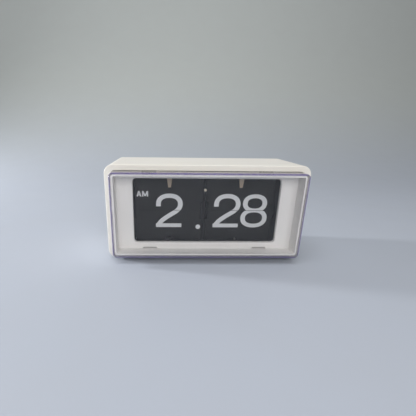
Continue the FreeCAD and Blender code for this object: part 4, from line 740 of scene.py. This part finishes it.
class FLIPCLOCK_OT_numbers(bpy.types.Operator):
    """Print the numbers on the leaves, both those on show and the next ones"""

    bl_idname = "flip_clock.numbers"
    bl_label = "Print the numbers"

    def execute(self, context):
        sizes = context.scene.flip_clock_sizes
        film = ink("number_ink", tuple(context.scene.flip_clock_colours.ink))
        stem, bar = sizes.stem / MM, sizes.bar / MM
        two, eight = digit_two(stem, bar), digit_eight(stem, bar)
        three, nine = digit_three(stem, bar), digit_nine(stem, bar)
        shown = {
            "hour": [("two", two, HOUR_LEFT)],
            "minute": [("two", two, TENS_LEFT), ("eight", eight, UNITS_LEFT)],
        }
        coming = {
            "hour": [("three", three, HOUR_LEFT)],
            "minute": [("two", two, TENS_LEFT), ("nine", nine, UNITS_LEFT)],
        }
        joints = {j["child"]: j for j in frame["joints"]}
        for stack in ("hour", "minute"):
            pivot = joints[stack + "_leaf"]["pos_m"][2]
            self.print_stack(stack, shown[stack], coming[stack], pivot, sizes, film)
        self.print_small(sizes, film)
        return {"FINISHED"}

    def print_stack(self, stack, shown, coming, pivot, sizes, film):
        """The number on show over two leaves, then the next one behind and on the reverse."""
        leaf_body = stack + "_leaf"
        foot = sizes.digit_base
        top = foot + sizes.digit_height + 1 * MM
        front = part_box(stack + "_flap_top")[0]
        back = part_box(stack + "_flap_top")[1]
        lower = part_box(stack + "_flap_lower")
        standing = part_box(stack + "_flaps_standing")[0]
        upper_low = front.z + sizes.split_margin
        lower_high = lower[1].z - sizes.split_margin
        next_low = standing.z + sizes.split_margin
        turned_high = 2 * pivot - upper_low
        jobs = []
        for word, shapes, x in shown:
            jobs.append((word + "_upper", shapes, x, upper_low, top, front.y, None, leaf_body))
            jobs.append((word + "_lower", shapes, x, 0.0, lower_high, lower[0].y, None, "case"))
        for word, shapes, x in coming:
            jobs.append((word + "_next_upper", shapes, x, next_low, top, standing.y, None, "case"))
            jobs.append((word + "_next_lower", shapes, x, 0.0, turned_high, back.y, pivot, leaf_body))
        for word, shapes, x, low, high, face, over, body in jobs:
            piece = print_mesh(
                f"{stack}_{word}", shapes, x, foot, low, high, face, sizes.ink_depth, over)
            piece.data.materials.append(film)
            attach(piece, body)

    def print_small(self, sizes, film):
        """The morning letters on the upper hour leaf and the dot on the lower one."""
        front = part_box("hour_flap_top")[0].y
        lower_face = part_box("hour_flap_lower")[0].y
        foot = sizes.digit_base
        letters = letters_am(LETTER_HIGH, LETTER_STROKE)
        dot = arc((0, 0), (DOT_RADIUS, DOT_RADIUS), 0, 360, 40, 2.0)[:-1]
        am = print_mesh(
            "hour_am", letters, LETTERS_LEFT, LETTERS_BASE, 0.05, 0.07, front, sizes.ink_depth)
        spot = print_mesh(
            "hour_dot", [dot], DOT_MIDDLE, foot + DOT_LIFT, 0.0, 0.04, lower_face, sizes.ink_depth)
        for piece, body in ((am, "hour_leaf"), (spot, "case")):
            piece.data.materials.append(film)
            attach(piece, body)


class FLIPCLOCK_OT_stage(bpy.types.Operator):
    """Set up the table, the lights and the camera"""

    bl_idname = "flip_clock.stage"
    bl_label = "Set the stage"

    def execute(self, context):
        colours = context.scene.flip_clock_colours
        stage = context.scene.flip_clock_stage
        self.build_table(tuple(colours.table), tuple(colours.wall))
        self.light_sky(tuple(colours.air), stage.sky_strength)
        # Name, place, target, width in metres, power and colour of each lamp.
        lamps = (
            ("key_light", (-0.95, 0.17, 0.24), CLOCK_MIDDLE, 0.10, stage.key_power, PLAIN),
            ("top_light", (-0.10, 0.05, 1.00), CLOCK_MIDDLE, 0.80, stage.top_power, PLAIN),
            ("fill_light", (0.05, -1.00, 0.55), CLOCK_MIDDLE, 0.90, stage.fill_power, WARM),
            ("wall_light", (-0.2, -0.40, 1.60), (0, 1.6, 0.9), 1.4, stage.wall_power, PLAIN),
        )
        for lamp in lamps:
            self.add_light(*lamp)
        data = bpy.data.cameras.new("view_camera")
        data.lens = stage.lens
        data.sensor_width = 36.0
        data.shift_x = stage.shift_x
        data.shift_y = stage.shift_y
        data.clip_start = 0.01
        data.clip_end = 20.0
        data.dof.use_dof = False
        camera = bpy.data.objects.new("view_camera", data)
        camera.location = stage.place
        camera.rotation_euler = stage.aim
        context.scene.collection.objects.link(camera)
        context.scene.camera = camera
        context.scene.view_settings.view_transform = "Standard"
        return {"FINISHED"}

    def build_table(self, colour, wall):
        """Table that sweeps up into the backdrop behind the clock."""
        work = bmesh.new()
        half, near, far, radius, rise = 3.0, -2.0, 0.35, 1.2, 2.6
        profile = [(near, 0.0), (far, 0.0)]
        for i in range(1, 17):
            a = math.pi / 2 * i / 16
            profile.append((far + radius * math.sin(a), radius * (1 - math.cos(a))))
        profile.append((far + radius, rise))
        rows = [[work.verts.new((x, y, z)) for y, z in profile] for x in (-half, half)]
        for i in range(len(profile) - 1):
            work.faces.new((rows[0][i], rows[1][i], rows[1][i + 1], rows[0][i + 1]))
        bmesh.ops.recalc_face_normals(work, faces=work.faces)
        for f in work.faces:
            f.smooth = True
        mesh = bpy.data.meshes.new("table")
        work.to_mesh(mesh)
        work.free()
        table = bpy.data.objects.new("table", mesh)
        bpy.context.scene.collection.objects.link(table)
        mesh.materials.append(table_top("table_paint", colour, wall))

    def light_sky(self, colour, strength):
        world = bpy.data.worlds.new("studio_air")
        bpy.context.scene.world = world
        world.use_nodes = True
        sky = world.node_tree.nodes["Background"]
        sky.inputs["Color"].default_value = (*colour, 1.0)
        sky.inputs["Strength"].default_value = strength

    def add_light(self, name, place, target, size, power, colour):
        data = bpy.data.lights.new(name, "AREA")
        data.shape = "DISK"
        data.size = size
        data.energy = power
        data.color = colour
        light = bpy.data.objects.new(name, data)
        light.location = place
        aim = Vector(target) - Vector(place)
        light.rotation_euler = aim.to_track_quat("-Z", "Y").to_euler()
        light.visible_glossy = size < WIDE_LAMP
        bpy.context.scene.collection.objects.link(light)


OPERATORS = (
    FLIPCLOCK_OT_finishes,
    FLIPCLOCK_OT_edges,
    FLIPCLOCK_OT_numbers,
    FLIPCLOCK_OT_stage,
)


class FLIPCLOCK_PT_sidebar(bpy.types.Panel):
    """Sidebar panel with the clock's settings and its steps"""

    bl_idname = "FLIPCLOCK_PT_sidebar"
    bl_label = "Flip Clock"
    bl_space_type = "VIEW_3D"
    bl_region_type = "UI"
    bl_category = "Flip Clock"

    def draw(self, context):
        layout = self.layout
        for operator in OPERATORS:
            layout.operator(operator.bl_idname)
        for group in ("flip_clock_colours", "flip_clock_sizes", "flip_clock_stage"):
            box = layout.box()
            owner = getattr(context.scene, group)
            for key in owner.__annotations__:
                box.prop(owner, key)


def register():
    for item in SETTINGS + OPERATORS + (FLIPCLOCK_PT_sidebar,):
        bpy.utils.register_class(item)
    bpy.types.Scene.flip_clock_colours = PointerProperty(type=ClockColours)
    bpy.types.Scene.flip_clock_sizes = PointerProperty(type=ClockSizes)
    bpy.types.Scene.flip_clock_stage = PointerProperty(type=ClockStage)


def unregister():
    del bpy.types.Scene.flip_clock_stage
    del bpy.types.Scene.flip_clock_sizes
    del bpy.types.Scene.flip_clock_colours
    for item in reversed(SETTINGS + OPERATORS + (FLIPCLOCK_PT_sidebar,)):
        bpy.utils.unregister_class(item)


def main():
    register()
    bpy.ops.flip_clock.finishes()
    bpy.ops.flip_clock.edges()
    bpy.ops.flip_clock.numbers()
    bpy.ops.flip_clock.stage()


if __name__ == "__main__":
    main()
